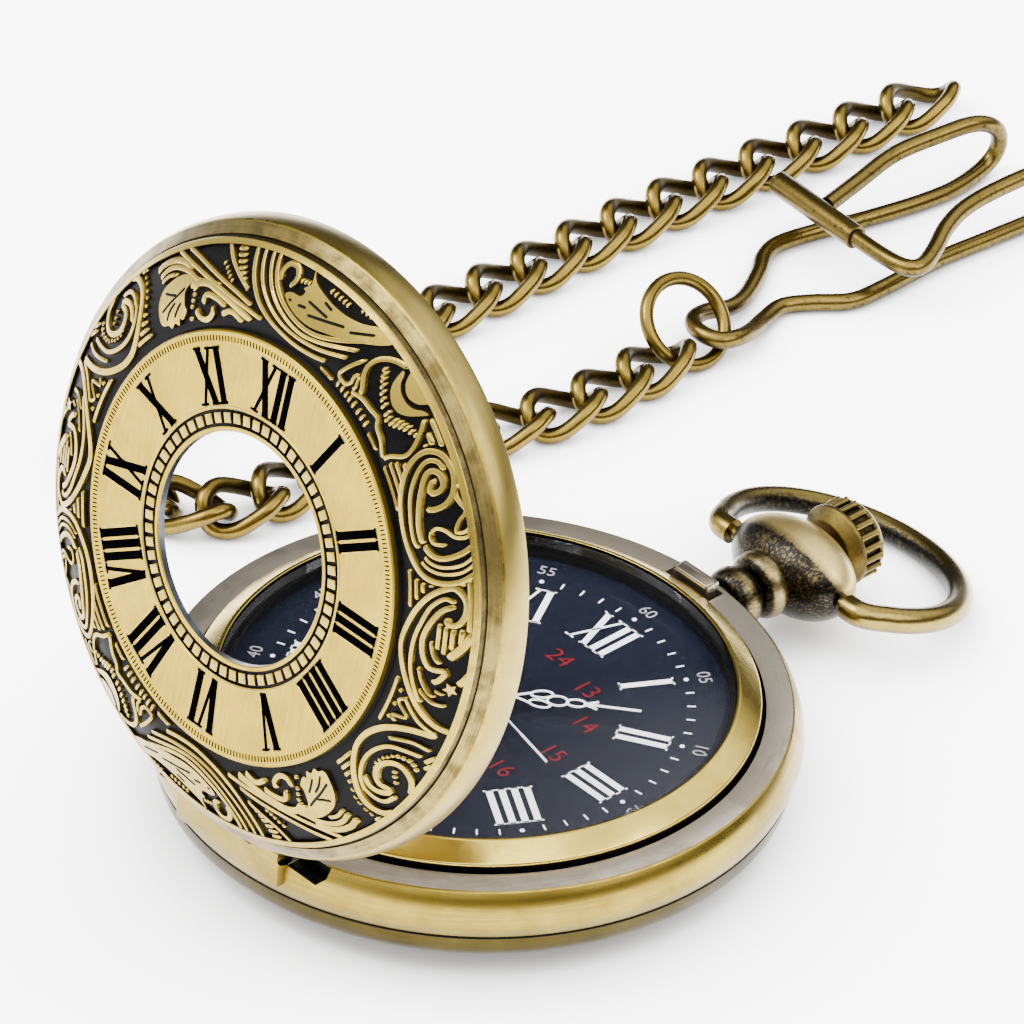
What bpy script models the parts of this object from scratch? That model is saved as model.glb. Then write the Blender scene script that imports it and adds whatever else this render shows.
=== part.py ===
"""Open-faced hunter pocket watch with its curb chain, jump ring and wire clip.

The watch lies on its back with the cover standing open. The origin is at the centre of the case on the
surface it lies on, +Z is up, +Y runs to the crown at 12 o'clock, +X to 3 o'clock, and the cover's hinge is
at 6 o'clock. Lengths are in metres, written as millimetres times MM.
"""
import math

import bmesh
import bpy
from mathutils import Matrix, Vector

MM = 0.001

# Fits
RUNNING_FIT = 0.06 * MM
SEAT_GAP = 0.05 * MM
PRESS_GAP = 0.03 * MM
CUT_OVERRUN = 0.5 * MM

# Case band: from the lip round the rounded wall to the seam, as (inset from the case radius, height)
CASE_RADIUS = 23.5 * MM
LIP_HEIGHT = 8.02 * MM
LIP_INSET = 0.8 * MM
SEAM_HEIGHT = 4.25 * MM
SEAM_INSET = 0.5 * MM
SEAM_RADIUS = CASE_RADIUS - SEAM_INSET
BAND_PROFILE = ((LIP_INSET, LIP_HEIGHT), (0.25 * MM, 7.12 * MM), (0.0, 6.0 * MM), (0.05 * MM, 5.2 * MM),
                (SEAM_INSET, SEAM_HEIGHT))
CASE_WALL = 2.45 * MM
CASE_BORE_RADIUS = CASE_RADIUS - CASE_WALL
SHELF_UNDERSIDE = 6.9 * MM
BEZEL_SEAT_HEIGHT = 7.5 * MM

# Case back: from below the seam to the flat it lies on, as (inset from the case radius, height)
BACK_PROFILE = ((0.8 * MM, 2.7 * MM), (1.6 * MM, 2.05 * MM), (3.0 * MM, 1.43 * MM), (6.3 * MM, 0.5 * MM),
                (11.1 * MM, 0.0))
BACK_WALL = 0.95 * MM
BACK_SNAP_RIM_HEIGHT = 0.65 * MM
BACK_SNAP_RIM_WALL = 0.5 * MM

# Bezel and crystal
BEZEL_INSET = 3.15 * MM
BEZEL_RADIUS = CASE_RADIUS - BEZEL_INSET
SHELF_WIDTH = 1.35 * MM
SHELF_RADIUS = BEZEL_RADIUS - SHELF_WIDTH
BEZEL_GROOVE = 0.25 * MM
BEZEL_OUTER_HEIGHT = 8.58 * MM
BEZEL_WIDTH = 1.85 * MM
BEZEL_BORE_RADIUS = BEZEL_RADIUS - BEZEL_WIDTH
BEZEL_TOP_HEIGHT = 9.58 * MM
BEZEL_LEDGE_WIDTH = 0.55 * MM
BEZEL_LEDGE_RADIUS = BEZEL_BORE_RADIUS - BEZEL_LEDGE_WIDTH
BEZEL_LEDGE_HEIGHT = 8.5 * MM
CRYSTAL_EDGE_HEIGHT = 0.75 * MM
CRYSTAL_DOME_HEIGHT = 1.55 * MM
CRYSTAL_WALL = 0.8 * MM

# Dial and hands
DIAL_HEIGHT = 7.4 * MM
DIAL_THICKNESS = 0.4 * MM
HOUR_HAND_LENGTH = 8.2 * MM
MINUTE_HAND_LENGTH = 11.8 * MM
SECONDS_HAND_LENGTH = 9.9 * MM
SECONDS_HAND_TAIL = 3.4 * MM
HAND_THICKNESS = 0.15 * MM
HAND_HUB_RIM = 0.4 * MM
HAND_NECK = 0.2 * MM
HAND_LOOP = 0.62 * MM
HAND_LOOP_RIM = 0.17 * MM
HAND_FLARE = 0.75 * MM
HAND_FLARE_LENGTH = 0.5 * MM
HAND_TIP = 0.06 * MM
HOUR_HAND_SHARES = (0.42, 0.58, 0.78)
MINUTE_HAND_SHARES = (0.29, 0.54, 0.74)
SECONDS_HUB_RADIUS = 0.65 * MM
SECONDS_TAIL_HALF_WIDTH = 0.16 * MM
SECONDS_TIP_HALF_WIDTH = 0.07 * MM
HOUR_HAND_HEIGHT = 7.75 * MM
MINUTE_HAND_HEIGHT = 8.2 * MM
SECONDS_HAND_HEIGHT = 8.62 * MM
HOUR_HAND_ANGLE = 304.3
MINUTE_HAND_ANGLE = 51.1
SECONDS_HAND_ANGLE = 102.6

# Front cover and its hinge
COVER_OPEN_ANGLE = 76.7
HINGE_INSET = 0.78 * MM
HINGE_Y = HINGE_INSET - CASE_RADIUS
HINGE_Z = 8.12 * MM
COVER_INSET = 0.9 * MM
COVER_RADIUS = CASE_RADIUS - COVER_INSET
COVER_BAND_HEIGHT = 2.35 * MM
COVER_BAND_BULGE = 0.05 * MM
COVER_BAND_BULGE_HEIGHT = 1.05 * MM
COVER_INNER_PROFILE = ((1.1 * MM, 0.0), (1.4 * MM, 1.65 * MM), (2.5 * MM, 2.55 * MM))
COVER_BAND_SLOPE = 0.6 * MM
COVER_BAND_TOP_RADIUS = COVER_RADIUS - COVER_BAND_SLOPE
ANNULUS_INSET = 1.4 * MM
ANNULUS_OUTER_RADIUS = COVER_RADIUS - ANNULUS_INSET
ANNULUS_OUTER_HEIGHT = 3.45 * MM
ANNULUS_WIDTH = 5.3 * MM
ANNULUS_INNER_RADIUS = ANNULUS_OUTER_RADIUS - ANNULUS_WIDTH
ANNULUS_INNER_HEIGHT = 5.3 * MM
CHAPTER_STEP = 0.66 * MM
CHAPTER_RADIUS = ANNULUS_INNER_RADIUS - CHAPTER_STEP
CHAPTER_HEIGHT = 5.7 * MM
WINDOW_RADIUS = 8.2 * MM
WINDOW_RIM = 0.7 * MM
SQUARES_INNER_RADIUS = WINDOW_RADIUS + WINDOW_RIM
SQUARES_WIDTH = 0.9 * MM
SQUARES_OUTER_RADIUS = SQUARES_INNER_RADIUS + SQUARES_WIDTH
SQUARES_DEPTH = 0.25 * MM
COVER_DISC_WALL = 1.0 * MM
KNUCKLE_RADIUS = 0.85 * MM
COVER_KNUCKLE_LENGTH = 5.0 * MM
CASE_KNUCKLE_LENGTH = 2.8 * MM
HINGE_PIN_RADIUS = 0.3 * MM
HINGE_BLOCK_BOTTOM = 5.6 * MM
HINGE_BLOCK_DEPTH = 1.5 * MM
HINGE_NOTCH_LENGTH = 3.0 * MM
HINGE_NOTCH_WIDTH = 2.3 * MM
HINGE_NOTCH_FLOOR = 7.2 * MM

# Cover catch and lift spring, two curved strips under the lip
SPRING_INSET = 0.65 * MM
SPRING_RADIUS = CASE_BORE_RADIUS - SPRING_INSET
SPRING_THICKNESS = 0.4 * MM
SPRING_BOTTOM = 5.75 * MM
SPRING_TOP = 6.8 * MM
CATCH_TIP_ANGLE = 86.0
CATCH_SPAN = 62.0
LIFT_TIP_ANGLE = -87.0
LIFT_SPAN = -58.0
SPRING_FOOT_SPAN = 8.0
CATCH_LEFT = -2.0 * MM
CATCH_RIGHT = 1.5 * MM
CATCH_INSET = 2.5 * MM
CATCH_INNER_Y = CASE_RADIUS - CATCH_INSET
CATCH_DEPTH = 1.0 * MM
CATCH_OUTER_Y = CATCH_INNER_Y + CATCH_DEPTH
CATCH_TOP = 8.75 * MM
CATCH_NOSE = 0.2 * MM
CATCH_NOSE_HEIGHT = 0.28 * MM
CATCH_TRAVEL = 0.55 * MM
CATCH_SIDE_ROOM = 0.6 * MM
COVER_SKIN = 0.3 * MM

# Pendant, bow, crown and stem on one axis along +Y
PENDANT_HEIGHT = 5.0 * MM
PENDANT_FOOT_DEPTH = 1.1 * MM
PENDANT_FOOT_Y = CASE_RADIUS - PENDANT_FOOT_DEPTH
PENDANT_FOOT_RADIUS = 1.6 * MM
NECK_RADIUS = 1.5 * MM
NECK_FLARE = 0.3 * MM
NECK_RING_STEPS = 4
FIRST_RING_OFFSET = 1.9 * MM
FIRST_RING_Y = CASE_RADIUS + FIRST_RING_OFFSET
FIRST_RING_RADIUS = 2.0 * MM
FIRST_RING_THICKNESS = 2.1 * MM
SECOND_RING_OFFSET = 4.3 * MM
SECOND_RING_Y = CASE_RADIUS + SECOND_RING_OFFSET
SECOND_RING_RADIUS = 2.25 * MM
SECOND_RING_THICKNESS = 1.5 * MM
HEAD_OFFSET = 7.9 * MM
HEAD_Y = CASE_RADIUS + HEAD_OFFSET
HEAD_HALF_X = 5.6 * MM
HEAD_HALF_Y = 3.4 * MM
HEAD_HALF_Z = 3.5 * MM
BOW_AXIS_OFFSET = 0.4 * MM
BOW_AXIS_Y = HEAD_Y - BOW_AXIS_OFFSET
BOW_WIRE_RADIUS = 0.975 * MM
BOW_HALF_WIDTH = 9.65 * MM
BOW_HALF_LENGTH = 8.3 * MM
BOW_CENTRE = 5.6 * MM
BOW_REST_TILT = -16.5
BOW_END_X = 6.05 * MM
BOW_PIN_RADIUS = 0.5 * MM
BOW_PIN_LENGTH = 1.5 * MM
BOW_ARCH_END = 118.0
BOW_STRAIGHT = 0.9 * MM
BOW_STEP = 0.01 * MM
STEM_RADIUS = 0.5 * MM
STEM_INSET = 8.5 * MM
STEM_INNER_Y = CASE_RADIUS - STEM_INSET
STEM_PINION_TEETH = 9
STEM_PINION_RADIUS = 0.95 * MM
STEM_PINION_LENGTH = 1.8 * MM
STEM_SQUARE = 0.6 * MM
STEM_SQUARE_INSET = 2.9 * MM
STEM_SQUARE_START = CASE_RADIUS - STEM_SQUARE_INSET
CROWN_PRESS_TRAVEL = 0.6 * MM
CROWN_TUBE_RADIUS = 0.95 * MM
CROWN_TUBE_START_Y = CATCH_OUTER_Y + CROWN_PRESS_TRAVEL + RUNNING_FIT
CROWN_RADIUS = 3.13 * MM
CROWN_FLUTES = 22
CROWN_FLUTE_DEPTH = 0.3 * MM
CROWN_OFFSET = 3.45 * MM
CROWN_START_Y = HEAD_Y + CROWN_OFFSET
STEM_SETBACK = 1.25 * MM
STEM_END_Y = CROWN_START_Y - STEM_SETBACK
CROWN_COLLAR_LENGTH = 0.9 * MM
CROWN_COLLAR_RADIUS = 2.3 * MM
CROWN_COLLAR_TOP_RADIUS = 3.05 * MM
CROWN_FLUTED_LENGTH = 1.25 * MM
CROWN_CAP_HEIGHT = 0.5 * MM
CROWN_CAP_SHOULDER_HEIGHT = 0.42 * MM
CROWN_CAP_SHOULDER_RADIUS = 1.7 * MM
CROWN_CAP_RADIUS = 2.7 * MM
HEAD_FACE_Y = CROWN_START_Y - CROWN_PRESS_TRAVEL - 2 * RUNNING_FIT

# Movement: a main plate under the dial, a bridge below, and the train between them
PLATE_CLEARANCE = 0.65 * MM
PLATE_RADIUS = SPRING_RADIUS - SPRING_THICKNESS / 2 - PLATE_CLEARANCE
PLATE_RIM_WALL = 1.6 * MM
PLATE_BOTTOM = 5.2 * MM
PLATE_TOP = 5.9 * MM
STEM_SLOT_HALF_WIDTH = 1.15 * MM
STEM_SLOT_TOP = 6.2 * MM
STEM_SLOT_ROOM = 0.6 * MM
STEM_SLOT_INNER_Y = STEM_INNER_Y - STEM_SLOT_ROOM
BRIDGE_RADIUS = 10.4 * MM
BRIDGE_BOTTOM = 1.9 * MM
BRIDGE_TOP = 2.5 * MM
PILLAR_RADIUS = 0.9 * MM
PILLARS = ((8.6 * MM, -3.2 * MM), (-7.6 * MM, -2.6 * MM))
PIVOT_RADIUS = 0.15 * MM
PIVOT_DEPTH = 0.35 * MM
WHEEL_THICKNESS = 0.25 * MM
ADDENDUM = 0.9
DEDENDUM = 1.2
MOTOR_LEVEL = 2.75 * MM
SECONDS_LEVEL = 3.2 * MM
THIRD_LEVEL = 3.65 * MM
CENTRE_LEVEL = 4.15 * MM
CANNON_LEVEL = 6.05 * MM
HOUR_LEVEL = 6.45 * MM
ROTOR_PINION_TEETH = 6
INTERMEDIATE_TEETH = 36
INTERMEDIATE_PINION_TEETH = 6
SECONDS_TEETH = 30
SECONDS_PINION_TEETH = 6
THIRD_TEETH = 45
THIRD_PINION_TEETH = 6
CENTRE_TEETH = 48
CANNON_TEETH = 8
MINUTE_TEETH = 24
MINUTE_PINION_TEETH = 6
HOUR_TEETH = 24
ROTOR_DISTANCE = 2.52 * MM
ROTOR_ANGLE = 130.0
INTERMEDIATE_DISTANCE = 4.1 * MM
INTERMEDIATE_ANGLE = 180.0
THIRD_DISTANCE = 4.0 * MM
THIRD_ANGLE = -20.0
MINUTE_WHEEL_DISTANCE = 2.4 * MM
MINUTE_WHEEL_ANGLE = -100.0
SECONDS_ARBOR_RADIUS = 0.15 * MM
CENTRE_PIPE_BORE = 0.21 * MM
CENTRE_PIPE_RADIUS = 0.42 * MM
HOUR_PIPE_BORE = 0.48 * MM
HOUR_PIPE_RADIUS = 0.75 * MM
ROTOR_MAGNET_RADIUS = 0.8 * MM
ROTOR_MAGNET_BOTTOM = 3.4 * MM
ROTOR_MAGNET_HEIGHT = 1.2 * MM
STATOR_LEFT = -12.5 * MM
STATOR_RIGHT = -4.3 * MM
STATOR_FRONT = 0.4 * MM
STATOR_BACK = 9.2 * MM
STATOR_BAR = 2.0 * MM
STATOR_POLE_DEPTH = 3.2 * MM
STATOR_HEIGHT = 4.0 * MM
STATOR_THICKNESS = 0.8 * MM
STATOR_AIR_GAP = 0.25 * MM
COIL_RADIUS = 1.1 * MM
COIL_INSET = 0.9 * MM
BATTERY_RADIUS = 4.75 * MM
BATTERY_HEIGHT = 2.1 * MM
BATTERY_PLACE = (8.2 * MM, 8.6 * MM)

# Chain, jump ring and clip, lying behind the watch
LINK_COUNT = 30
LINK_PITCH = 4.7 * MM
LINK_FOLD_PITCH = 4.16 * MM
LINK_WIRE_RADIUS = 0.62 * MM
LINK_HALF_LENGTH = 3.1 * MM
LINK_HALF_WIDTH = 2.0 * MM
LINK_SQUARENESS = 0.8
LINK_END_TWIST = 48.0
LINK_POINTS = 12
FOLD_FIRST_LINK = 17
FOLD_LINKS = 5
FOLD_LIFT = 0.6 * MM
FOLD_ROLL = 14.0
FOLD_ROLL_LIFT = 0.35 * MM
FOLD_RAMP_LINKS = 4
FOLD_CENTRE = (-41.6, 10.6)
FOLD_RADIUS = 7.4
ROUTE_TO_FOLD = [
    (-42.2, 88.0), (-43.0, 78.0), (-43.9, 68.0), (-44.4, 58.0), (-44.5, 48.2), (-44.4, 38.2), (-45.4, 28.0),
    (-48.3, 18.0),
]
ROUTE_FROM_FOLD = [
    (-34.9, 13.4), (-33.6, 20.0), (-31.2, 27.0), (-29.2, 34.0), (-28.7, 40.5), (-29.2, 47.4),
]
RING_CENTRE = (-30.2 * MM, 48.9 * MM, 3.05 * MM)
RING_RADIUS = 3.45 * MM
RING_WIRE_RADIUS = 0.55 * MM
RING_LEAN = 45.0
RING_POINTS = 18
CLIP_WIRE_RADIUS = 0.68 * MM
CLIP_ROUTE = [
    (-33.9, 67.3, 4.0), (-34.5, 71.0, 4.2), (-35.0, 75.5, 4.7), (-34.2, 79.5, 5.2), (-33.4, 82.6, 5.4),
    (-33.0, 84.6, 4.4), (-33.1, 85.2, 2.5), (-33.2, 84.0, 1.0), (-32.7, 80.3, 0.75), (-33.0, 76.5, 0.75),
    (-34.0, 71.8, 0.75), (-35.1, 67.8, 0.75), (-35.8, 64.2, 0.75), (-35.2, 62.0, 0.75),
    (-33.8, 60.1, 0.75), (-32.1, 57.1, 0.85), (-31.4, 54.7, 1.2), (-31.5, 52.4, 1.8), (-31.0, 50.6, 2.2),
    (-29.9, 49.7, 2.3), (-28.6, 49.6, 2.3), (-27.5, 50.2, 2.2), (-27.2, 51.6, 2.0), (-27.7, 53.5, 1.5),
    (-28.7, 55.8, 1.0), (-29.4, 58.4, 0.75), (-28.3, 60.6, 0.75), (-26.6, 63.0, 0.75), (-26.3, 66.0, 0.75),
    (-26.4, 72.2, 0.75), (-25.9, 78.0, 0.75), (-25.5, 83.0, 0.9), (-25.3, 85.0, 2.3), (-25.3, 84.4, 4.4),
    (-25.4, 82.0, 5.4), (-25.9, 77.5, 5.2), (-25.9, 74.2, 4.9), (-25.2, 71.6, 4.6), (-24.0, 69.2, 4.2),
    (-23.3, 67.3, 4.0), (-23.7, 66.2, 4.0), (-25.4, 65.8, 4.0), (-29.2, 65.9, 4.0), (-38.3, 66.5, 4.0),
]
SLEEVE_RADIUS = 0.96 * MM
SLEEVE_LENGTH = 9.4 * MM
SLEEVE_OVERHANG = 0.3 * MM

# Facet counts
SHELL_STEPS = 36
SMALL_STEPS = 16
PIN_STEPS = 8
DOME_STEPS = 3


def clear_scene():
    for old in list(bpy.data.objects):
        bpy.data.objects.remove(old, do_unlink=True)


def new_collection(name):
    collection = bpy.data.collections.new(name)
    bpy.context.scene.collection.children.link(collection)
    return collection


def finish(name, colour, roughness, metallic):
    """A plain Principled material named for the sub-part that wears it."""
    material = bpy.data.materials.new(name)
    material.use_nodes = True
    shader = material.node_tree.nodes["Principled BSDF"]
    shader.inputs["Base Color"].default_value = (*colour, 1.0)
    shader.inputs["Roughness"].default_value = roughness
    shader.inputs["Metallic"].default_value = metallic
    return material


def place(name, data, collection):
    obj = bpy.data.objects.new(name, data)
    collection.objects.link(obj)
    return obj


def part(name, data, look):
    obj = place(name, data, PARTS)
    data.materials.append(finish(name, *look))
    return obj


def cutter(name, data):
    obj = place(name, data, CUTTERS)
    obj.hide_render = True
    obj.display_type = "WIRE"
    return obj


def profile_mesh(name, points, closed):
    """A line of (radius, height) points in the XZ plane, ready for a Screw modifier."""
    mesh = bpy.data.meshes.new(name)
    edges = [(i, i + 1) for i in range(len(points) - 1)]
    if closed:
        edges.append((len(points) - 1, 0))
    mesh.from_pydata([(r, 0.0, h) for r, h in points], edges, [])
    return mesh


def spin(obj, steps):
    screw = obj.modifiers.new("Turn", "SCREW")
    screw.angle = math.tau
    screw.steps = steps
    screw.render_steps = steps
    screw.use_merge_vertices = True
    screw.merge_threshold = 1e-6
    screw.use_smooth_shade = False
    return obj


def turned(name, points, look, steps=SHELL_STEPS, closed=True):
    """A part turned about Z, from a profile that runs down its outer side and up its inner side."""
    return spin(part(name, profile_mesh(name, points, closed), look), steps)


def turned_cutter(name, points, steps, closed=False):
    return spin(cutter(name, profile_mesh(name, points, closed)), steps)


def along_y(obj, height):
    """Lay a shape turned about Z along +Y at the given height."""
    obj.rotation_euler = (-math.pi / 2, 0.0, 0.0)
    obj.location = (0.0, 0.0, height)
    return obj


def cylinder_mesh(name, radius, start, end, steps):
    """A cylinder between two points."""
    start, end = Vector(start), Vector(end)
    axis = end - start
    turn = axis.to_track_quat("Z", "Y").to_matrix().to_4x4()
    shape = bmesh.new()
    bmesh.ops.create_cone(
        shape, cap_ends=True, segments=steps, radius1=radius, radius2=radius, depth=axis.length,
        matrix=Matrix.Translation((start + end) / 2) @ turn,
    )
    mesh = bpy.data.meshes.new(name)
    shape.to_mesh(mesh)
    shape.free()
    return mesh


def box_mesh(name, low, high):
    """A box between two opposite corners."""
    low, high = Vector(low), Vector(high)
    shape = bmesh.new()
    bmesh.ops.create_cube(
        shape, size=1.0, matrix=Matrix.Translation((low + high) / 2) @ Matrix.Diagonal((*(high - low), 1.0)),
    )
    mesh = bpy.data.meshes.new(name)
    shape.to_mesh(mesh)
    shape.free()
    return mesh


def combine(obj, tool, operation):
    boolean = obj.modifiers.new(tool.name, "BOOLEAN")
    boolean.operation = operation
    boolean.object = tool
    boolean.solver = "EXACT"


def cut(obj, tool):
    combine(obj, tool, "DIFFERENCE")


def join(obj, tool):
    combine(obj, tool, "UNION")


def drill(obj, name, radius, places, low, high, steps=PIN_STEPS):
    """Cut one round hole along Z at each place."""
    for number, (x, y) in enumerate(places, 1):
        mesh = cylinder_mesh(name, radius, (x, y, low), (x, y, high), steps)
        cut(obj, cutter(f"{name}_{number}", mesh))


def outline_curve(name, outlines, bottom, top):
    """A flat plate from closed outlines. Outlines inside another one are holes."""
    curve = bpy.data.curves.new(name, "CURVE")
    curve.dimensions = "2D"
    curve.fill_mode = "BOTH"
    curve.extrude = (top - bottom) / 2
    for points in outlines:
        spline = curve.splines.new("POLY")
        spline.points.add(len(points) - 1)
        for point, (x, y) in zip(spline.points, points):
            point.co = (x, y, 0.0, 1.0)
        spline.use_cyclic_u = True
    return curve


def plate_mesh(name, outlines, bottom, top):
    """The same plate as a closed mesh, for a piece that is cut or joined."""
    curve = outline_curve(name, outlines, bottom, top)
    holder = place(name + "_outline", curve, CUTTERS)
    holder.location.z = (bottom + top) / 2
    bpy.context.view_layer.update()
    evaluated = holder.evaluated_get(bpy.context.evaluated_depsgraph_get())
    mesh = bpy.data.meshes.new_from_object(evaluated)
    shape = bmesh.new()
    shape.from_mesh(mesh)
    shape.transform(holder.matrix_world)
    bmesh.ops.remove_doubles(shape, verts=shape.verts, dist=1e-7)
    shape.to_mesh(mesh)
    shape.free()
    mesh.name = name
    bpy.data.objects.remove(holder, do_unlink=True)
    bpy.data.curves.remove(curve)
    return mesh


def wire_curve(name, points, radius, cyclic=False, thickness=None, resolution=1):
    """A round wire through the points. Thickness scales the radius point by point."""
    curve = bpy.data.curves.new(name, "CURVE")
    curve.dimensions = "3D"
    curve.fill_mode = "FULL"
    curve.bevel_depth = radius
    curve.bevel_resolution = resolution
    curve.use_fill_caps = not cyclic
    spline = curve.splines.new("POLY")
    spline.points.add(len(points) - 1)
    for number, (point, place_at) in enumerate(zip(spline.points, points)):
        point.co = (*place_at, 1.0)
        if thickness:
            point.radius = thickness[number]
    spline.use_cyclic_u = cyclic
    spline.use_smooth = True
    return curve


def smooth_route(points, steps):
    """Points along a Catmull-Rom curve through the route's own points."""
    route = [Vector(p) for p in points]
    route = [2 * route[0] - route[1]] + route + [2 * route[-1] - route[-2]]
    out = []
    for a, b, c, d in zip(route, route[1:], route[2:], route[3:]):
        for step in range(steps):
            t = step / steps
            out.append(0.5 * (2 * b + (c - a) * t + (2 * a - 5 * b + 4 * c - d) * t**2
                              + (3 * b - a - 3 * c + d) * t**3))
    return out + [route[-2]]


def polar(radius, degrees):
    angle = math.radians(degrees)
    return radius * math.cos(angle), radius * math.sin(angle)


def circle(radius, centre=(0.0, 0.0), steps=SMALL_STEPS):
    points = [polar(radius, 360.0 * i / steps) for i in range(steps)]
    return [(centre[0] + x, centre[1] + y) for x, y in points]


BRASS = (0.42, 0.29, 0.11)
GOLD = (0.55, 0.39, 0.15)
BRONZE = (0.25, 0.16, 0.06)
STEEL = (0.55, 0.56, 0.58)


def build_case():
    rim_outer = CASE_BORE_RADIUS - SEAT_GAP
    rim_inner = rim_outer - BACK_SNAP_RIM_WALL
    groove = BEZEL_RADIUS + BEZEL_GROOVE
    body = turned("case_body", [
        (SHELF_RADIUS, BEZEL_SEAT_HEIGHT), (groove, BEZEL_SEAT_HEIGHT), (groove, LIP_HEIGHT),
        *[(CASE_RADIUS - inset, height) for inset, height in BAND_PROFILE], (CASE_BORE_RADIUS, SEAM_HEIGHT),
        (CASE_BORE_RADIUS, SHELF_UNDERSIDE), (SHELF_RADIUS, SHELF_UNDERSIDE),
    ], (GOLD, 0.32, 1.0))
    side = COVER_KNUCKLE_LENGTH / 2
    room = KNUCKLE_RADIUS + RUNNING_FIT
    ends = (side + RUNNING_FIT, side + RUNNING_FIT + CASE_KNUCKLE_LENGTH)
    block = box_mesh("hinge_block", (-ends[1], HINGE_Y - KNUCKLE_RADIUS, HINGE_BLOCK_BOTTOM),
                     (ends[1], HINGE_Y - KNUCKLE_RADIUS + HINGE_BLOCK_DEPTH, LIP_HEIGHT))
    join(body, cutter("hinge_block", block))
    clearance = cylinder_mesh("cover_knuckle_room", room, (-ends[0], HINGE_Y, HINGE_Z),
                              (ends[0], HINGE_Y, HINGE_Z), SMALL_STEPS)
    cut(body, cutter("cover_knuckle_room", clearance))
    for sign, label in ((-1, "left"), (1, "right")):
        knuckle = cylinder_mesh("case_knuckle", KNUCKLE_RADIUS, (sign * ends[0], HINGE_Y, HINGE_Z),
                                (sign * ends[1], HINGE_Y, HINGE_Z), SMALL_STEPS)
        join(body, cutter(f"case_knuckle_{label}", knuckle))
        near, far = sorted((sign * ends[1], sign * (ends[1] + HINGE_NOTCH_LENGTH)))
        notch = box_mesh("hinge_notch", (near, -CASE_RADIUS, HINGE_NOTCH_FLOOR),
                         (far, HINGE_NOTCH_WIDTH - CASE_RADIUS, LIP_HEIGHT + CUT_OVERRUN))
        cut(body, cutter(f"hinge_notch_{label}", notch))
    reach = ends[1] + CUT_OVERRUN
    bore = cylinder_mesh("hinge_bore", HINGE_PIN_RADIUS + PRESS_GAP, (-reach, HINGE_Y, HINGE_Z),
                         (reach, HINGE_Y, HINGE_Z), PIN_STEPS)
    cut(body, cutter("hinge_bore", bore))
    slot = box_mesh("catch_slot", (CATCH_LEFT - CATCH_SIDE_ROOM, CATCH_INNER_Y - CATCH_TRAVEL,
                                   SPRING_BOTTOM - RUNNING_FIT),
                    (CATCH_RIGHT + CATCH_SIDE_ROOM, CATCH_OUTER_Y + CATCH_NOSE, CATCH_TOP))
    cut(body, cutter("catch_slot", slot))
    seat = cylinder_mesh("pendant_seat", PENDANT_FOOT_RADIUS + SEAT_GAP,
                         (0.0, PENDANT_FOOT_Y - SEAT_GAP, PENDANT_HEIGHT),
                         (0.0, CASE_RADIUS + CUT_OVERRUN, PENDANT_HEIGHT), SMALL_STEPS)
    seat = cutter("pendant_seat", seat)
    cut(body, seat)
    passage = cylinder_mesh("stem_passage", CROWN_TUBE_RADIUS + RUNNING_FIT,
                            (0.0, rim_inner - CUT_OVERRUN, PENDANT_HEIGHT),
                            (0.0, CASE_RADIUS, PENDANT_HEIGHT), SMALL_STEPS)
    passage = cutter("stem_passage", passage)
    cut(body, passage)

    edge = SEAM_HEIGHT - SEAT_GAP
    outside = [(CASE_RADIUS - inset, height) for inset, height in BACK_PROFILE]
    inside = [(min(radius, rim_inner), height + BACK_WALL) for radius, height in reversed(outside[2:])]
    back = turned("case_back", [
        (rim_inner, edge + BACK_SNAP_RIM_HEIGHT), (rim_outer, edge + BACK_SNAP_RIM_HEIGHT),
        (rim_outer, edge), (SEAM_RADIUS, edge), *outside, (0.0, 0.0), (0.0, BACK_WALL), *inside,
    ], (GOLD, 0.3, 1.0))
    cut(back, seat)
    cut(back, passage)


def build_bezel_and_crystal():
    turned("bezel", [
        (BEZEL_BORE_RADIUS, BEZEL_TOP_HEIGHT), (BEZEL_RADIUS, BEZEL_OUTER_HEIGHT),
        (BEZEL_RADIUS, BEZEL_SEAT_HEIGHT + SEAT_GAP), (BEZEL_LEDGE_RADIUS, BEZEL_SEAT_HEIGHT + SEAT_GAP),
        (BEZEL_LEDGE_RADIUS, BEZEL_LEDGE_HEIGHT), (BEZEL_BORE_RADIUS, BEZEL_LEDGE_HEIGHT),
    ], (GOLD, 0.28, 1.0))
    edge = BEZEL_BORE_RADIUS - SEAT_GAP
    bottom = BEZEL_LEDGE_HEIGHT + SEAT_GAP
    rim = bottom + CRYSTAL_EDGE_HEIGHT

    def dome(radius, height):
        """The crystal's shallow arch over its rim."""
        return rim + height * (1.0 - (radius / edge) ** 2)

    inner_edge = edge - CRYSTAL_WALL
    outer = []
    inner = []
    for i in range(DOME_STEPS + 1):
        share = i / DOME_STEPS
        outer.append((edge * share, dome(edge * share, CRYSTAL_DOME_HEIGHT)))
        inner.insert(0, (inner_edge * share, dome(inner_edge * share, CRYSTAL_DOME_HEIGHT) - CRYSTAL_WALL))
    turned("crystal", outer + [(edge, bottom), (inner_edge, bottom)] + inner, ((0.9, 0.95, 1.0), 0.03, 0.0))


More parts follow.
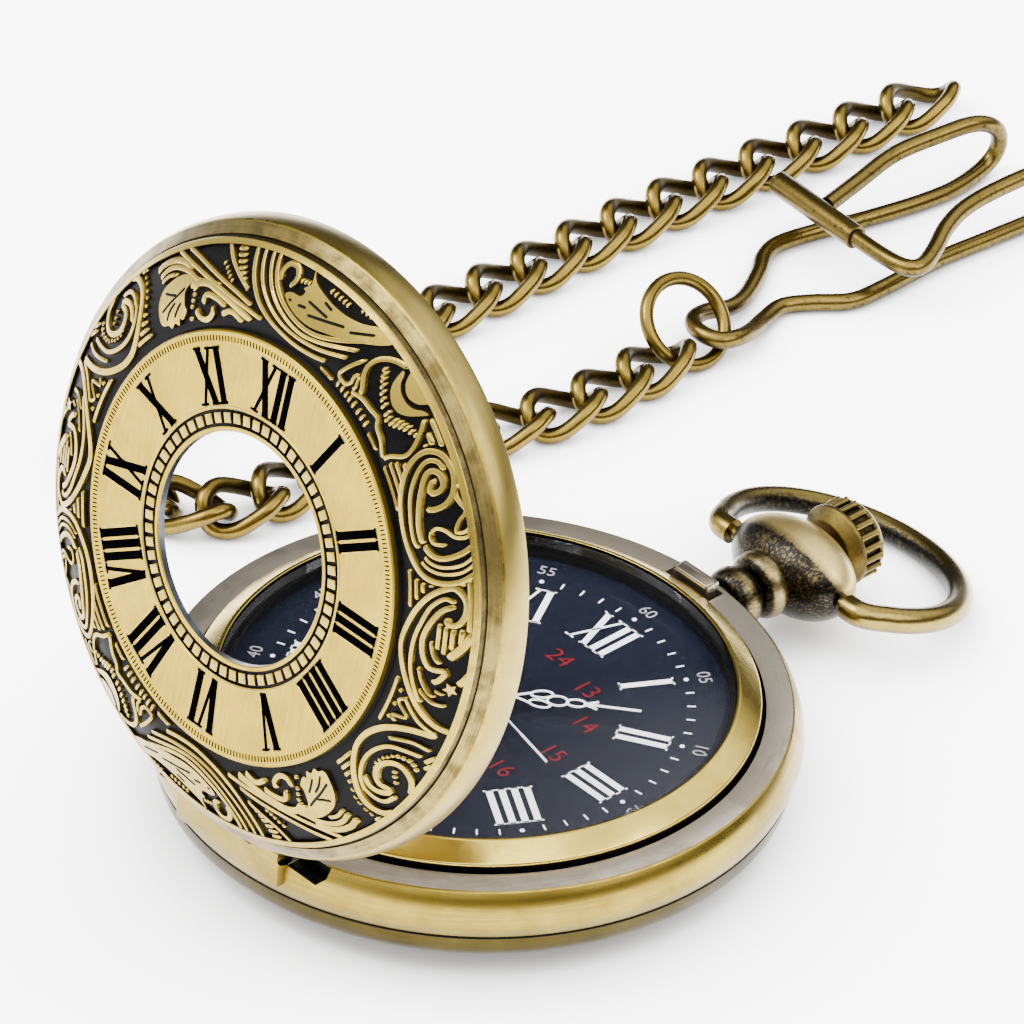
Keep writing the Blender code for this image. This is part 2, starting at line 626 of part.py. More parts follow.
def build_dial_and_hands():
    edge = SHELF_RADIUS - SEAT_GAP
    low = DIAL_HEIGHT - DIAL_THICKNESS
    hole = HOUR_PIPE_RADIUS + 3 * RUNNING_FIT
    turned("dial", [(hole, DIAL_HEIGHT), (edge, DIAL_HEIGHT), (edge, low), (hole, low)],
           ((0.015, 0.016, 0.025), 0.25, 0.0))
    hand("hour_hand", HOUR_HAND_ANGLE, HOUR_HAND_HEIGHT, HOUR_PIPE_RADIUS, HOUR_HAND_LENGTH, HOUR_HAND_SHARES)
    hand("minute_hand", MINUTE_HAND_ANGLE, MINUTE_HAND_HEIGHT, CENTRE_PIPE_RADIUS, MINUTE_HAND_LENGTH,
         MINUTE_HAND_SHARES)
    hub = circle(SECONDS_HUB_RADIUS)
    bore = circle(SECONDS_ARBOR_RADIUS + PRESS_GAP, steps=PIN_STEPS)
    needle = [(-SECONDS_TAIL_HALF_WIDTH, -SECONDS_HAND_TAIL), (SECONDS_TAIL_HALF_WIDTH, -SECONDS_HAND_TAIL),
              (SECONDS_TIP_HALF_WIDTH, SECONDS_HAND_LENGTH), (-SECONDS_TIP_HALF_WIDTH, SECONDS_HAND_LENGTH)]
    top = SECONDS_HAND_HEIGHT + HAND_THICKNESS
    mesh = plate_mesh("seconds_hand", [needle], SECONDS_HAND_HEIGHT, top)
    obj = part("seconds_hand", mesh, ((0.75, 0.72, 0.66), 0.3, 0.8))
    join(obj, cutter("seconds_hub", plate_mesh("seconds_hub", [hub], SECONDS_HAND_HEIGHT, top)))
    reach = plate_mesh("seconds_bore", [bore], SECONDS_HAND_HEIGHT - CUT_OVERRUN, top + CUT_OVERRUN)
    cut(obj, cutter("seconds_bore", reach))
    turn_to_clock(obj, SECONDS_HAND_ANGLE)


def turn_to_clock(obj, degrees):
    obj.rotation_euler.z = -math.radians(degrees)


def hand(name, angle, bottom, pipe_radius, length, shares):
    """An open-work hand: hub, neck, pierced oval, flared crown and a fine tip, along +Y before it turns.

    Shares give the start and end of the oval and the crown's place along the hand.
    """
    hub = pipe_radius + HAND_HUB_RIM
    first, last, flare = (length * share for share in shares)
    middle = (first + last) / 2
    half = (last - first) / 2
    turns = [math.pi * i / 6 for i in range(1, 6)]
    oval = [(HAND_LOOP * math.sin(turn), middle - half * math.cos(turn)) for turn in turns]
    right = [(HAND_NECK, hub), (HAND_NECK, first), *oval, (HAND_NECK, last),
             (HAND_NECK, flare - HAND_FLARE_LENGTH), (HAND_FLARE, flare),
             (HAND_NECK, flare + HAND_FLARE_LENGTH), (HAND_TIP, length)]
    left = [(-x, y) for x, y in reversed(right)]
    lower = [polar(hub, 130.0 + 280.0 * i / SMALL_STEPS) for i in range(SMALL_STEPS + 1)]
    hole = [((HAND_LOOP - HAND_LOOP_RIM) * math.sin(math.tau * i / 10),
             middle - (half - 2 * HAND_LOOP_RIM) * math.cos(math.tau * i / 10)) for i in range(10)]
    bore = circle(pipe_radius + PRESS_GAP)
    curve = outline_curve(name, [right + left + lower, hole, bore], bottom, bottom + HAND_THICKNESS)
    obj = part(name, curve, ((0.8, 0.78, 0.72), 0.3, 0.8))
    obj.location.z = bottom + HAND_THICKNESS / 2
    turn_to_clock(obj, angle)


def build_cover():
    """The pierced front cover, drawn shut and turned open about the hinge axis."""
    hinge = bpy.data.objects.new("cover_hinge_axis", None)
    PARTS.objects.link(hinge)
    hinge.location = (0.0, HINGE_Y, HINGE_Z)
    hinge.rotation_euler.x = math.radians(COVER_OPEN_ANGLE)
    inside = [(COVER_RADIUS - inset, height) for inset, height in COVER_INNER_PROFILE]
    dome = [(ANNULUS_OUTER_RADIUS + (ANNULUS_INNER_RADIUS - ANNULUS_OUTER_RADIUS) * t,
             ANNULUS_OUTER_HEIGHT + (ANNULUS_INNER_HEIGHT - ANNULUS_OUTER_HEIGHT) * math.sin(t * math.pi / 2))
            for t in (1.0, 2 / 3, 1 / 3, 0.0)]
    floor = CHAPTER_HEIGHT - SQUARES_DEPTH
    cover = turned("front_cover", [
        (WINDOW_RADIUS, CHAPTER_HEIGHT), (SQUARES_INNER_RADIUS, CHAPTER_HEIGHT), (SQUARES_INNER_RADIUS, floor),
        (SQUARES_OUTER_RADIUS, floor), (SQUARES_OUTER_RADIUS, CHAPTER_HEIGHT),
        (CHAPTER_RADIUS, CHAPTER_HEIGHT), *dome,
        (COVER_BAND_TOP_RADIUS, COVER_BAND_HEIGHT),
        (COVER_RADIUS + COVER_BAND_BULGE, COVER_BAND_BULGE_HEIGHT), (COVER_RADIUS, 0.0), *inside,
        (ANNULUS_INNER_RADIUS, ANNULUS_INNER_HEIGHT - COVER_DISC_WALL),
        (WINDOW_RADIUS, CHAPTER_HEIGHT - COVER_DISC_WALL),
    ], (GOLD, 0.33, 1.0))
    cover.parent = hinge
    cover.location = (0.0, -HINGE_Y, 0.0)
    half = COVER_KNUCKLE_LENGTH / 2
    room = KNUCKLE_RADIUS + RUNNING_FIT
    outer_end = half + 2 * RUNNING_FIT + CASE_KNUCKLE_LENGTH
    tools = []
    for sign, label in ((-1, "left"), (1, "right")):
        mesh = cylinder_mesh("case_knuckle_room", room, (sign * half, HINGE_Y, 0.0),
                             (sign * outer_end, HINGE_Y, 0.0), SMALL_STEPS)
        tools.append((cut, cutter(f"case_knuckle_room_{label}", mesh)))
    knuckle = cylinder_mesh("cover_knuckle", KNUCKLE_RADIUS, (-half, HINGE_Y, 0.0), (half, HINGE_Y, 0.0),
                            SMALL_STEPS)
    tools.append((join, cutter("cover_knuckle", knuckle)))
    bore = cylinder_mesh("cover_knuckle_bore", HINGE_PIN_RADIUS + RUNNING_FIT,
                         (-half - CUT_OVERRUN, HINGE_Y, 0.0), (half + CUT_OVERRUN, HINGE_Y, 0.0), PIN_STEPS)
    tools.append((cut, cutter("cover_knuckle_bore", bore)))
    # The catch's nose hooks over a lip left below this pocket's outer part
    ledge = CATCH_TOP - CATCH_NOSE_HEIGHT - SEAT_GAP - HINGE_Z
    low_x = CATCH_LEFT - CATCH_SIDE_ROOM
    high_x = CATCH_RIGHT + CATCH_SIDE_ROOM
    passage = box_mesh("catch_passage", (low_x, CATCH_INNER_Y - CATCH_TRAVEL, -CUT_OVERRUN),
                       (high_x, CATCH_OUTER_Y + RUNNING_FIT, CATCH_TOP - HINGE_Z + 2 * RUNNING_FIT))
    pocket = box_mesh("catch_pocket", (low_x, CATCH_INNER_Y, ledge),
                      (high_x, COVER_RADIUS - COVER_SKIN, CATCH_TOP - HINGE_Z + 2 * RUNNING_FIT))
    tools.append((cut, cutter("catch_passage", passage)))
    tools.append((cut, cutter("catch_pocket", pocket)))
    for operation, tool in tools:
        tool.parent = hinge
        tool.location = (0.0, -HINGE_Y, 0.0)
        operation(cover, tool)

    pin_half = half + RUNNING_FIT + CASE_KNUCKLE_LENGTH
    pin = cylinder_mesh("hinge_pin", HINGE_PIN_RADIUS, (-pin_half, 0.0, 0.0), (pin_half, 0.0, 0.0), PIN_STEPS)
    obj = part("hinge_pin", pin, (STEEL, 0.3, 1.0))
    obj.location = (0.0, HINGE_Y, HINGE_Z)


def strip_outline(start, span, inner, outer, steps=10):
    """A curved strip in plan, from one angle round by a span."""
    angles = [start + span * i / steps for i in range(steps + 1)]
    return [polar(outer, a) for a in angles] + [polar(inner, a) for a in reversed(angles)]


def spring_strip(name, start, span, look):
    inner = SPRING_RADIUS - SPRING_THICKNESS / 2
    outer = SPRING_RADIUS + SPRING_THICKNESS / 2
    mesh = plate_mesh(name, [strip_outline(start, span, inner, outer)], SPRING_BOTTOM, SPRING_TOP)
    obj = part(name, mesh, look)
    foot_span = math.copysign(SPRING_FOOT_SPAN, span)
    bore_flat = CASE_BORE_RADIUS * math.cos(math.pi / SHELL_STEPS)
    foot = strip_outline(start + span - foot_span, foot_span, inner, bore_flat - SEAT_GAP, steps=2)
    join(obj, cutter(name + "_foot", plate_mesh(name + "_foot", [foot], SPRING_BOTTOM, SPRING_TOP)))
    return obj


def build_springs():
    """The catch strip ends in an upright post with a hooked nose. The lift strip pushes under the hinge."""
    catch = spring_strip("catch_spring", CATCH_TIP_ANGLE, CATCH_SPAN, (STEEL, 0.35, 1.0))
    root = SPRING_RADIUS - SPRING_THICKNESS / 2
    tongue = box_mesh("catch_tongue", (CATCH_LEFT, root, SPRING_BOTTOM),
                      (CATCH_RIGHT, CATCH_OUTER_Y, SPRING_TOP))
    join(catch, cutter("catch_tongue", tongue))
    post = box_mesh("catch_post", (CATCH_LEFT, CATCH_INNER_Y, SPRING_BOTTOM),
                    (CATCH_RIGHT, CATCH_OUTER_Y, CATCH_TOP))
    join(catch, cutter("catch_post", post))
    nose = box_mesh("catch_nose", (CATCH_LEFT, CATCH_INNER_Y, CATCH_TOP - CATCH_NOSE_HEIGHT),
                    (CATCH_RIGHT, CATCH_OUTER_Y + CATCH_NOSE, CATCH_TOP))
    join(catch, cutter("catch_nose", nose))
    spring_strip("lift_spring", LIFT_TIP_ANGLE, LIFT_SPAN, (STEEL, 0.35, 1.0))


def build_pendant():
    neck = [(0.0, HEAD_Y), (NECK_RADIUS, HEAD_Y)]
    for centre, radius, thickness in ((SECOND_RING_Y, SECOND_RING_RADIUS, SECOND_RING_THICKNESS),
                                      (FIRST_RING_Y, FIRST_RING_RADIUS, FIRST_RING_THICKNESS)):
        for i in range(NECK_RING_STEPS + 1):
            turn = math.pi * i / NECK_RING_STEPS
            neck.append((NECK_RADIUS + (radius - NECK_RADIUS) * math.sin(turn),
                         centre + thickness / 2 * math.cos(turn)))
    neck += [(NECK_RADIUS, CASE_RADIUS + NECK_FLARE), (PENDANT_FOOT_RADIUS, CASE_RADIUS),
             (PENDANT_FOOT_RADIUS, PENDANT_FOOT_Y), (0.0, PENDANT_FOOT_Y)]
    pendant = turned("pendant", neck, (BRONZE, 0.4, 1.0), steps=SMALL_STEPS, closed=False)
    along_y(pendant, PENDANT_HEIGHT)
    ball = bmesh.new()
    bmesh.ops.create_uvsphere(ball, u_segments=18, v_segments=9, radius=1.0)
    bmesh.ops.scale(ball, vec=(HEAD_HALF_X, HEAD_HALF_Z, HEAD_HALF_Y), verts=ball.verts)
    mesh = bpy.data.meshes.new("pendant_head")
    ball.to_mesh(mesh)
    ball.free()
    head = cutter("pendant_head", mesh)
    along_y(head, PENDANT_HEIGHT)
    head.location.y = HEAD_Y
    join(pendant, head)
    face = box_mesh("pendant_face", (-HEAD_HALF_X, HEAD_FACE_Y, PENDANT_HEIGHT - HEAD_HALF_Z),
                    (HEAD_HALF_X, HEAD_FACE_Y + HEAD_HALF_Y, PENDANT_HEIGHT + HEAD_HALF_Z))
    cut(pendant, cutter("pendant_face", face))
    bore = cylinder_mesh("crown_tube_bore", CROWN_TUBE_RADIUS + RUNNING_FIT,
                         (0.0, PENDANT_FOOT_Y - CUT_OVERRUN, PENDANT_HEIGHT),
                         (0.0, HEAD_FACE_Y + CUT_OVERRUN, PENDANT_HEIGHT), SMALL_STEPS)
    cut(pendant, cutter("crown_tube_bore", bore))
    deep = BOW_END_X - BOW_PIN_LENGTH - 2 * RUNNING_FIT
    for sign, label in ((-1, "left"), (1, "right")):
        hole = cylinder_mesh("bow_hole", BOW_PIN_RADIUS + RUNNING_FIT,
                             (sign * deep, BOW_AXIS_Y, PENDANT_HEIGHT),
                             (sign * (HEAD_HALF_X + CUT_OVERRUN), BOW_AXIS_Y, PENDANT_HEIGHT), SMALL_STEPS)
        cut(pendant, cutter(f"bow_hole_{label}", hole))


def build_bow():
    """An oval wire loop whose necked ends turn in the pendant's side holes."""
    arch = [(BOW_HALF_WIDTH * math.sin(math.radians(a)),
             BOW_CENTRE + BOW_HALF_LENGTH * math.cos(math.radians(a)))
            for a in (BOW_ARCH_END * i / 11 for i in range(12))]
    shoulder_x, shoulder_y = arch[-1]
    straight = BOW_END_X + BOW_STRAIGHT
    bend = [(shoulder_x * (1 - t) + straight * t, shoulder_y * (1 - t) ** 2) for t in (0.35, 0.7, 1.0)]
    half = arch[1:] + bend
    tip = [(BOW_END_X, 0.0), (BOW_END_X - BOW_STEP, 0.0), (BOW_END_X - BOW_PIN_LENGTH, 0.0)]
    thickness = [1.0] * (len(half) + 1) + [BOW_PIN_RADIUS / BOW_WIRE_RADIUS] * 2
    right = half + tip
    points = [(-x, s, 0.0) for x, s in reversed(right)] + [(0.0, arch[0][1], 0.0)]
    points += [(x, s, 0.0) for x, s in right]
    thickness = list(reversed(thickness)) + [1.0] + thickness
    curve = wire_curve("bow", points, BOW_WIRE_RADIUS, thickness=thickness, resolution=2)
    bow = part("bow", curve, (BRONZE, 0.38, 1.0))
    bow.location = (0.0, BOW_AXIS_Y, PENDANT_HEIGHT)
    bow.rotation_euler.x = math.radians(BOW_REST_TILT)


def build_crown_and_stem():
    """The stem turns in the movement. The crown's tube slides on its square end and turns with it."""
    module = 2 * STEM_PINION_RADIUS / (STEM_PINION_TEETH + 2 * ADDENDUM)
    teeth = gear_outline(STEM_PINION_TEETH, module, 0.0, pointed=False)
    stem = part("stem", plate_mesh("stem", [teeth], STEM_INNER_Y, STEM_INNER_Y + STEM_PINION_LENGTH),
                (STEEL, 0.3, 1.0))
    along_y(stem, PENDANT_HEIGHT)
    rod = cylinder_mesh("stem_rod", STEM_RADIUS, (0.0, STEM_INNER_Y + PRESS_GAP, PENDANT_HEIGHT),
                        (0.0, STEM_SQUARE_START, PENDANT_HEIGHT), PIN_STEPS)
    join(stem, cutter("stem_rod", rod))
    half = STEM_SQUARE / 2
    square = box_mesh("stem_square", (-half, STEM_SQUARE_START - CUT_OVERRUN, PENDANT_HEIGHT - half),
                      (half, STEM_END_Y, PENDANT_HEIGHT + half))
    join(stem, cutter("stem_square", square))

    tip_y = CROWN_START_Y + CROWN_COLLAR_LENGTH + CROWN_FLUTED_LENGTH
    flutes = []
    for i in range(2 * CROWN_FLUTES):
        radius = CROWN_RADIUS - (CROWN_FLUTE_DEPTH if i % 2 else 0.0)
        flutes.append(polar(radius, 180.0 * i / CROWN_FLUTES))
    start = CROWN_START_Y + CROWN_COLLAR_LENGTH
    crown = part("crown", plate_mesh("crown", [flutes], start, tip_y), (BRASS, 0.42, 1.0))
    along_y(crown, PENDANT_HEIGHT)
    core = turned_cutter("crown_core", [
        (0.0, tip_y + CROWN_CAP_HEIGHT), (CROWN_CAP_SHOULDER_RADIUS, tip_y + CROWN_CAP_SHOULDER_HEIGHT),
        (CROWN_CAP_RADIUS, tip_y), (CROWN_CAP_RADIUS, start), (CROWN_COLLAR_TOP_RADIUS, start),
        (CROWN_COLLAR_RADIUS, CROWN_START_Y),
        (CROWN_TUBE_RADIUS, CROWN_START_Y), (CROWN_TUBE_RADIUS, CROWN_TUBE_START_Y),
        (0.0, CROWN_TUBE_START_Y),
    ], SMALL_STEPS)
    along_y(core, PENDANT_HEIGHT)
    join(crown, core)
    socket = half + RUNNING_FIT
    hole = box_mesh("crown_socket", (-socket, CROWN_TUBE_START_Y - CUT_OVERRUN, PENDANT_HEIGHT - socket),
                    (socket, tip_y - CROWN_FLUTED_LENGTH / 2, PENDANT_HEIGHT + socket))
    cut(crown, cutter("crown_socket", hole))


def gear_outline(teeth, module, phase, pointed=True):
    """Teeth round a pitch circle, one of them centred on the phase angle. Wheels have pointed teeth."""
    tip = module * (teeth / 2 + ADDENDUM)
    root = module * (teeth / 2 - DEDENDUM)
    pitch = 360.0 / teeth
    flank = ((0.0, tip), (0.5, root)) if pointed else ((-0.2, root), (-0.08, tip), (0.08, tip), (0.2, root))
    return [polar(radius, phase + pitch * (i + share)) for i in range(teeth) for share, radius in flank]


def mating_phase(teeth, angle):
    """Turn a gear so that a gap faces the mate that lies at this angle."""
    return angle + 180.0 / teeth


def gear_body(name, centre, wheel, pinion, low, high, radius, look):
    """A wheel and a pinion, each (teeth, module, phase, level), on one arbor from low to high."""
    base = None
    for label, gear, pointed in (("wheel", wheel, True), ("pinion", pinion, False)):
        if gear is None:
            continue
        teeth, module, phase, level = gear
        mesh = plate_mesh(f"{name}_{label}", [gear_outline(teeth, module, phase, pointed)], level,
                          level + WHEEL_THICKNESS)
        if base is None:
            base = part(name, mesh, look)
        else:
            join(base, cutter(f"{name}_{label}", mesh))
    arbor = cylinder_mesh(name + "_arbor", radius, (0.0, 0.0, low), (0.0, 0.0, high), PIN_STEPS)
    join(base, cutter(name + "_arbor", arbor))
    base.location = (*centre, 0.0)
    for modifier in base.modifiers:
        modifier.object.location = base.location
    return base


def build_train():
    """The motor's rotor drives the seconds, the minutes and, through the motion work, the hours."""
    look = (BRASS, 0.35, 1.0)
    third = polar(THIRD_DISTANCE, THIRD_ANGLE)
    intermediate = polar(INTERMEDIATE_DISTANCE, INTERMEDIATE_ANGLE)
    offset = polar(ROTOR_DISTANCE, ROTOR_ANGLE)
    rotor = (intermediate[0] + offset[0], intermediate[1] + offset[1])
    minute = polar(MINUTE_WHEEL_DISTANCE, MINUTE_WHEEL_ANGLE)
    motor_module = 2 * ROTOR_DISTANCE / (ROTOR_PINION_TEETH + INTERMEDIATE_TEETH)
    seconds_module = 2 * INTERMEDIATE_DISTANCE / (INTERMEDIATE_PINION_TEETH + SECONDS_TEETH)
    third_module = 2 * THIRD_DISTANCE / (SECONDS_PINION_TEETH + THIRD_TEETH)
    centre_module = 2 * THIRD_DISTANCE / (THIRD_PINION_TEETH + CENTRE_TEETH)
    cannon_module = 2 * MINUTE_WHEEL_DISTANCE / (CANNON_TEETH + MINUTE_TEETH)
    hour_module = 2 * MINUTE_WHEEL_DISTANCE / (MINUTE_PINION_TEETH + HOUR_TEETH)
    low_pivot = BRIDGE_TOP - PIVOT_DEPTH
    high_pivot = PLATE_BOTTOM + PIVOT_DEPTH

    spindle = gear_body("rotor", rotor, None, (ROTOR_PINION_TEETH, motor_module, ROTOR_ANGLE, MOTOR_LEVEL),
                        low_pivot, high_pivot, PIVOT_RADIUS, (STEEL, 0.4, 1.0))
    magnet = cylinder_mesh("rotor_magnet", ROTOR_MAGNET_RADIUS, (*rotor, ROTOR_MAGNET_BOTTOM),
                           (*rotor, ROTOR_MAGNET_BOTTOM + ROTOR_MAGNET_HEIGHT), SMALL_STEPS)
    join(spindle, cutter("rotor_magnet", magnet))
    gear_body("intermediate_wheel", intermediate,
              (INTERMEDIATE_TEETH, motor_module, mating_phase(INTERMEDIATE_TEETH, ROTOR_ANGLE), MOTOR_LEVEL),
              (INTERMEDIATE_PINION_TEETH, seconds_module, 0.0, SECONDS_LEVEL),
              low_pivot, high_pivot, PIVOT_RADIUS, look)
    gear_body("seconds_wheel", (0.0, 0.0),
              (SECONDS_TEETH, seconds_module, mating_phase(SECONDS_TEETH, INTERMEDIATE_ANGLE), SECONDS_LEVEL),
              (SECONDS_PINION_TEETH, third_module, THIRD_ANGLE, THIRD_LEVEL),
              low_pivot, SECONDS_HAND_HEIGHT + HAND_THICKNESS, SECONDS_ARBOR_RADIUS, look)
    gear_body("third_wheel", third,
              (THIRD_TEETH, third_module, mating_phase(THIRD_TEETH, THIRD_ANGLE + 180.0), THIRD_LEVEL),
              (THIRD_PINION_TEETH, centre_module, THIRD_ANGLE + 180.0, CENTRE_LEVEL),
              low_pivot, high_pivot, PIVOT_RADIUS, look)
    centre = gear_body("centre_wheel", (0.0, 0.0),
                       (CENTRE_TEETH, centre_module, mating_phase(CENTRE_TEETH, THIRD_ANGLE), CENTRE_LEVEL),
                       (CANNON_TEETH, cannon_module, MINUTE_WHEEL_ANGLE, CANNON_LEVEL),
                       CENTRE_LEVEL, MINUTE_HAND_HEIGHT + HAND_THICKNESS, CENTRE_PIPE_RADIUS, look)
    drill(centre, "centre_pipe_bore", CENTRE_PIPE_BORE, [(0.0, 0.0)], CENTRE_LEVEL - CUT_OVERRUN,
          MINUTE_HAND_HEIGHT + CUT_OVERRUN)
    back = MINUTE_WHEEL_ANGLE + 180.0
    gear_body("minute_wheel", minute,
              (MINUTE_TEETH, cannon_module, mating_phase(MINUTE_TEETH, back), CANNON_LEVEL),
              (MINUTE_PINION_TEETH, hour_module, back, HOUR_LEVEL),
              PLATE_TOP - PIVOT_DEPTH, HOUR_LEVEL + WHEEL_THICKNESS, PIVOT_RADIUS, look)
    hour = gear_body("hour_wheel", (0.0, 0.0),
                     (HOUR_TEETH, hour_module, mating_phase(HOUR_TEETH, MINUTE_WHEEL_ANGLE), HOUR_LEVEL), None,
                     HOUR_LEVEL, HOUR_HAND_HEIGHT + HAND_THICKNESS, HOUR_PIPE_RADIUS, look)
    drill(hour, "hour_pipe_bore", HOUR_PIPE_BORE, [(0.0, 0.0)], HOUR_LEVEL - CUT_OVERRUN,
          HOUR_HAND_HEIGHT + CUT_OVERRUN)
    return third, intermediate, rotor, minute


def build_plates(third, intermediate, rotor, minute):
    rim = PLATE_RADIUS - PLATE_RIM_WALL
    spigot = SHELF_RADIUS - SEAT_GAP
    low = DIAL_HEIGHT - DIAL_THICKNESS - SEAT_GAP
    flange = SHELF_UNDERSIDE - SEAT_GAP
    plate = turned("main_plate", [
        (0.0, PLATE_TOP), (rim, PLATE_TOP), (rim, low), (spigot, low), (spigot, flange), (PLATE_RADIUS, flange),
        (PLATE_RADIUS, PLATE_BOTTOM), (0.0, PLATE_BOTTOM),
    ], (BRASS, 0.4, 1.0), closed=False)
    slot = box_mesh("stem_slot", (-STEM_SLOT_HALF_WIDTH, STEM_SLOT_INNER_Y, PLATE_BOTTOM - CUT_OVERRUN),
                    (STEM_SLOT_HALF_WIDTH, PLATE_RADIUS + CUT_OVERRUN, STEM_SLOT_TOP))
    cut(plate, cutter("stem_slot", slot))
    reach = (PLATE_BOTTOM - CUT_OVERRUN, PLATE_TOP + CUT_OVERRUN)
    drill(plate, "centre_hole", CENTRE_PIPE_RADIUS + RUNNING_FIT, [(0.0, 0.0)], *reach)
    drill(plate, "plate_pivot", PIVOT_RADIUS + RUNNING_FIT, [third, intermediate, rotor, minute], *reach)

    bridge = turned("train_bridge", [
        (0.0, BRIDGE_TOP), (BRIDGE_RADIUS, BRIDGE_TOP), (BRIDGE_RADIUS, BRIDGE_BOTTOM), (0.0, BRIDGE_BOTTOM),
    ], (STEEL, 0.4, 1.0), steps=SMALL_STEPS, closed=False)
    for number, (x, y) in enumerate(PILLARS, 1):
        pillar = cylinder_mesh("pillar", PILLAR_RADIUS, (x, y, BRIDGE_BOTTOM + SEAT_GAP),
                               (x, y, PLATE_BOTTOM - SEAT_GAP), PIN_STEPS)
        join(bridge, cutter(f"pillar_{number}", pillar))
    drill(bridge, "bridge_pivot", PIVOT_RADIUS + RUNNING_FIT, [(0.0, 0.0), third, intermediate, rotor],
          BRIDGE_BOTTOM - CUT_OVERRUN, BRIDGE_TOP + CUT_OVERRUN)


def build_motor_and_battery(rotor):
    window_front = STATOR_FRONT + STATOR_POLE_DEPTH
    window_back = STATOR_BACK - STATOR_BAR
    frame = [(STATOR_LEFT, STATOR_FRONT), (STATOR_RIGHT, STATOR_FRONT), (STATOR_RIGHT, STATOR_BACK),
             (STATOR_LEFT, STATOR_BACK)]
    window = [(STATOR_LEFT + STATOR_BAR, window_front), (STATOR_RIGHT - STATOR_BAR, window_front),
              (STATOR_RIGHT - STATOR_BAR, window_back), (STATOR_LEFT + STATOR_BAR, window_back)]
    pole = circle(ROTOR_MAGNET_RADIUS + STATOR_AIR_GAP, rotor)
    mesh = plate_mesh("step_motor", [frame, window, pole], STATOR_HEIGHT - STATOR_THICKNESS / 2,
                      STATOR_HEIGHT + STATOR_THICKNESS / 2)
    motor = part("step_motor", mesh, ((0.5, 0.2, 0.08), 0.4, 0.9))
    middle = STATOR_BACK - STATOR_BAR / 2
    coil = cylinder_mesh("motor_coil", COIL_RADIUS, (STATOR_LEFT + COIL_INSET, middle, STATOR_HEIGHT),
                         (STATOR_RIGHT - COIL_INSET, middle, STATOR_HEIGHT), SMALL_STEPS)
    join(motor, cutter("motor_coil", coil))
    top = PLATE_BOTTOM - SEAT_GAP
    x, y = BATTERY_PLACE
    cell = cylinder_mesh("battery", BATTERY_RADIUS, (x, y, top - BATTERY_HEIGHT), (x, y, top), SMALL_STEPS)
    part("battery", cell, (STEEL, 0.25, 1.0))


def link_points():
    """A squarish ring twisted end to end, so that the next link can pass through it at a right angle."""
    points = []
    for i in range(LINK_POINTS):
        turn = math.tau * (i + 0.5) / LINK_POINTS
        along = math.copysign(abs(math.cos(turn)) ** LINK_SQUARENESS, math.cos(turn))
        across = math.copysign(abs(math.sin(turn)) ** LINK_SQUARENESS, math.sin(turn))
        twist = -math.radians(LINK_END_TWIST) * along
        side = LINK_HALF_WIDTH * across
        points.append((LINK_HALF_LENGTH * along, side * math.cos(twist), side * math.sin(twist)))
    return points


def ramp(number):
    """How far a link is into the fold's lift: 0 on the flat runs, 1 at the fold's first link."""
    before = (number - FOLD_FIRST_LINK + FOLD_RAMP_LINKS) / FOLD_RAMP_LINKS
    after = (FOLD_FIRST_LINK + FOLD_LINKS - number) / FOLD_LINKS
    return max(0.0, min(before, after, 1.0))


def fold_roll(number):
    """Links lean one way into the fold and the other way out of it."""
    middle = FOLD_FIRST_LINK + FOLD_LINKS / 2
    reach = FOLD_LINKS / 2
    offset = (number - middle) / reach
    if abs(offset) <= 1.0:
        return FOLD_ROLL * offset
    fade = max(0.0, 1.0 - (abs(offset) - 1.0) * reach / FOLD_RAMP_LINKS)
    return math.copysign(FOLD_ROLL * fade, offset)


def chain_pivots(height):
    """The points where links hang in each other: chords of one pitch stepped along the smooth route."""
    arc = [polar(FOLD_RADIUS, 180.0 + 180.0 * i / 8) for i in range(9)]
    fold = [(FOLD_CENTRE[0] + x, FOLD_CENTRE[1] + y) for x, y in arc]
    route = smooth_route([(x * MM, y * MM, 0.0) for x, y in ROUTE_TO_FOLD + fold + ROUTE_FROM_FOLD], 60)
    pivots = [route[0]]
    at = 0
    for number in range(LINK_COUNT):
        folding = FOLD_FIRST_LINK <= number < FOLD_FIRST_LINK + FOLD_LINKS
        pitch = LINK_FOLD_PITCH if folding else LINK_PITCH
        while at < len(route) - 1 and (route[at] - pivots[-1]).length < pitch:
            at += 1
        pivots.append(pivots[-1] + (route[at] - pivots[-1]).normalized() * pitch)
    for number, pivot in enumerate(pivots):
        lean = abs(fold_roll(number)) / FOLD_ROLL
        pivot.z = height + max(FOLD_LIFT * ramp(number), FOLD_ROLL_LIFT * lean)
    return pivots


def build_chain():
    points = link_points()
    height = max(z for x, y, z in points) + LINK_WIRE_RADIUS + SEAT_GAP
    pivots = chain_pivots(height)
    for number, (start, end) in enumerate(zip(pivots, pivots[1:]), 1):
        curve = wire_curve(f"chain_link_{number:02d}", points, LINK_WIRE_RADIUS, cyclic=True)
        link = part(f"chain_link_{number:02d}", curve, (BRONZE, 0.38, 1.0))
        along = (end - start).normalized()
        side = Vector((0.0, 0.0, 1.0)).cross(along).normalized()
        turn = Matrix((along, side, along.cross(side))).transposed().to_4x4()
        roll = Matrix.Rotation(math.radians(fold_roll(number - 0.5)), 4, "X")
        link.matrix_world = Matrix.Translation((start + end) / 2) @ turn @ roll


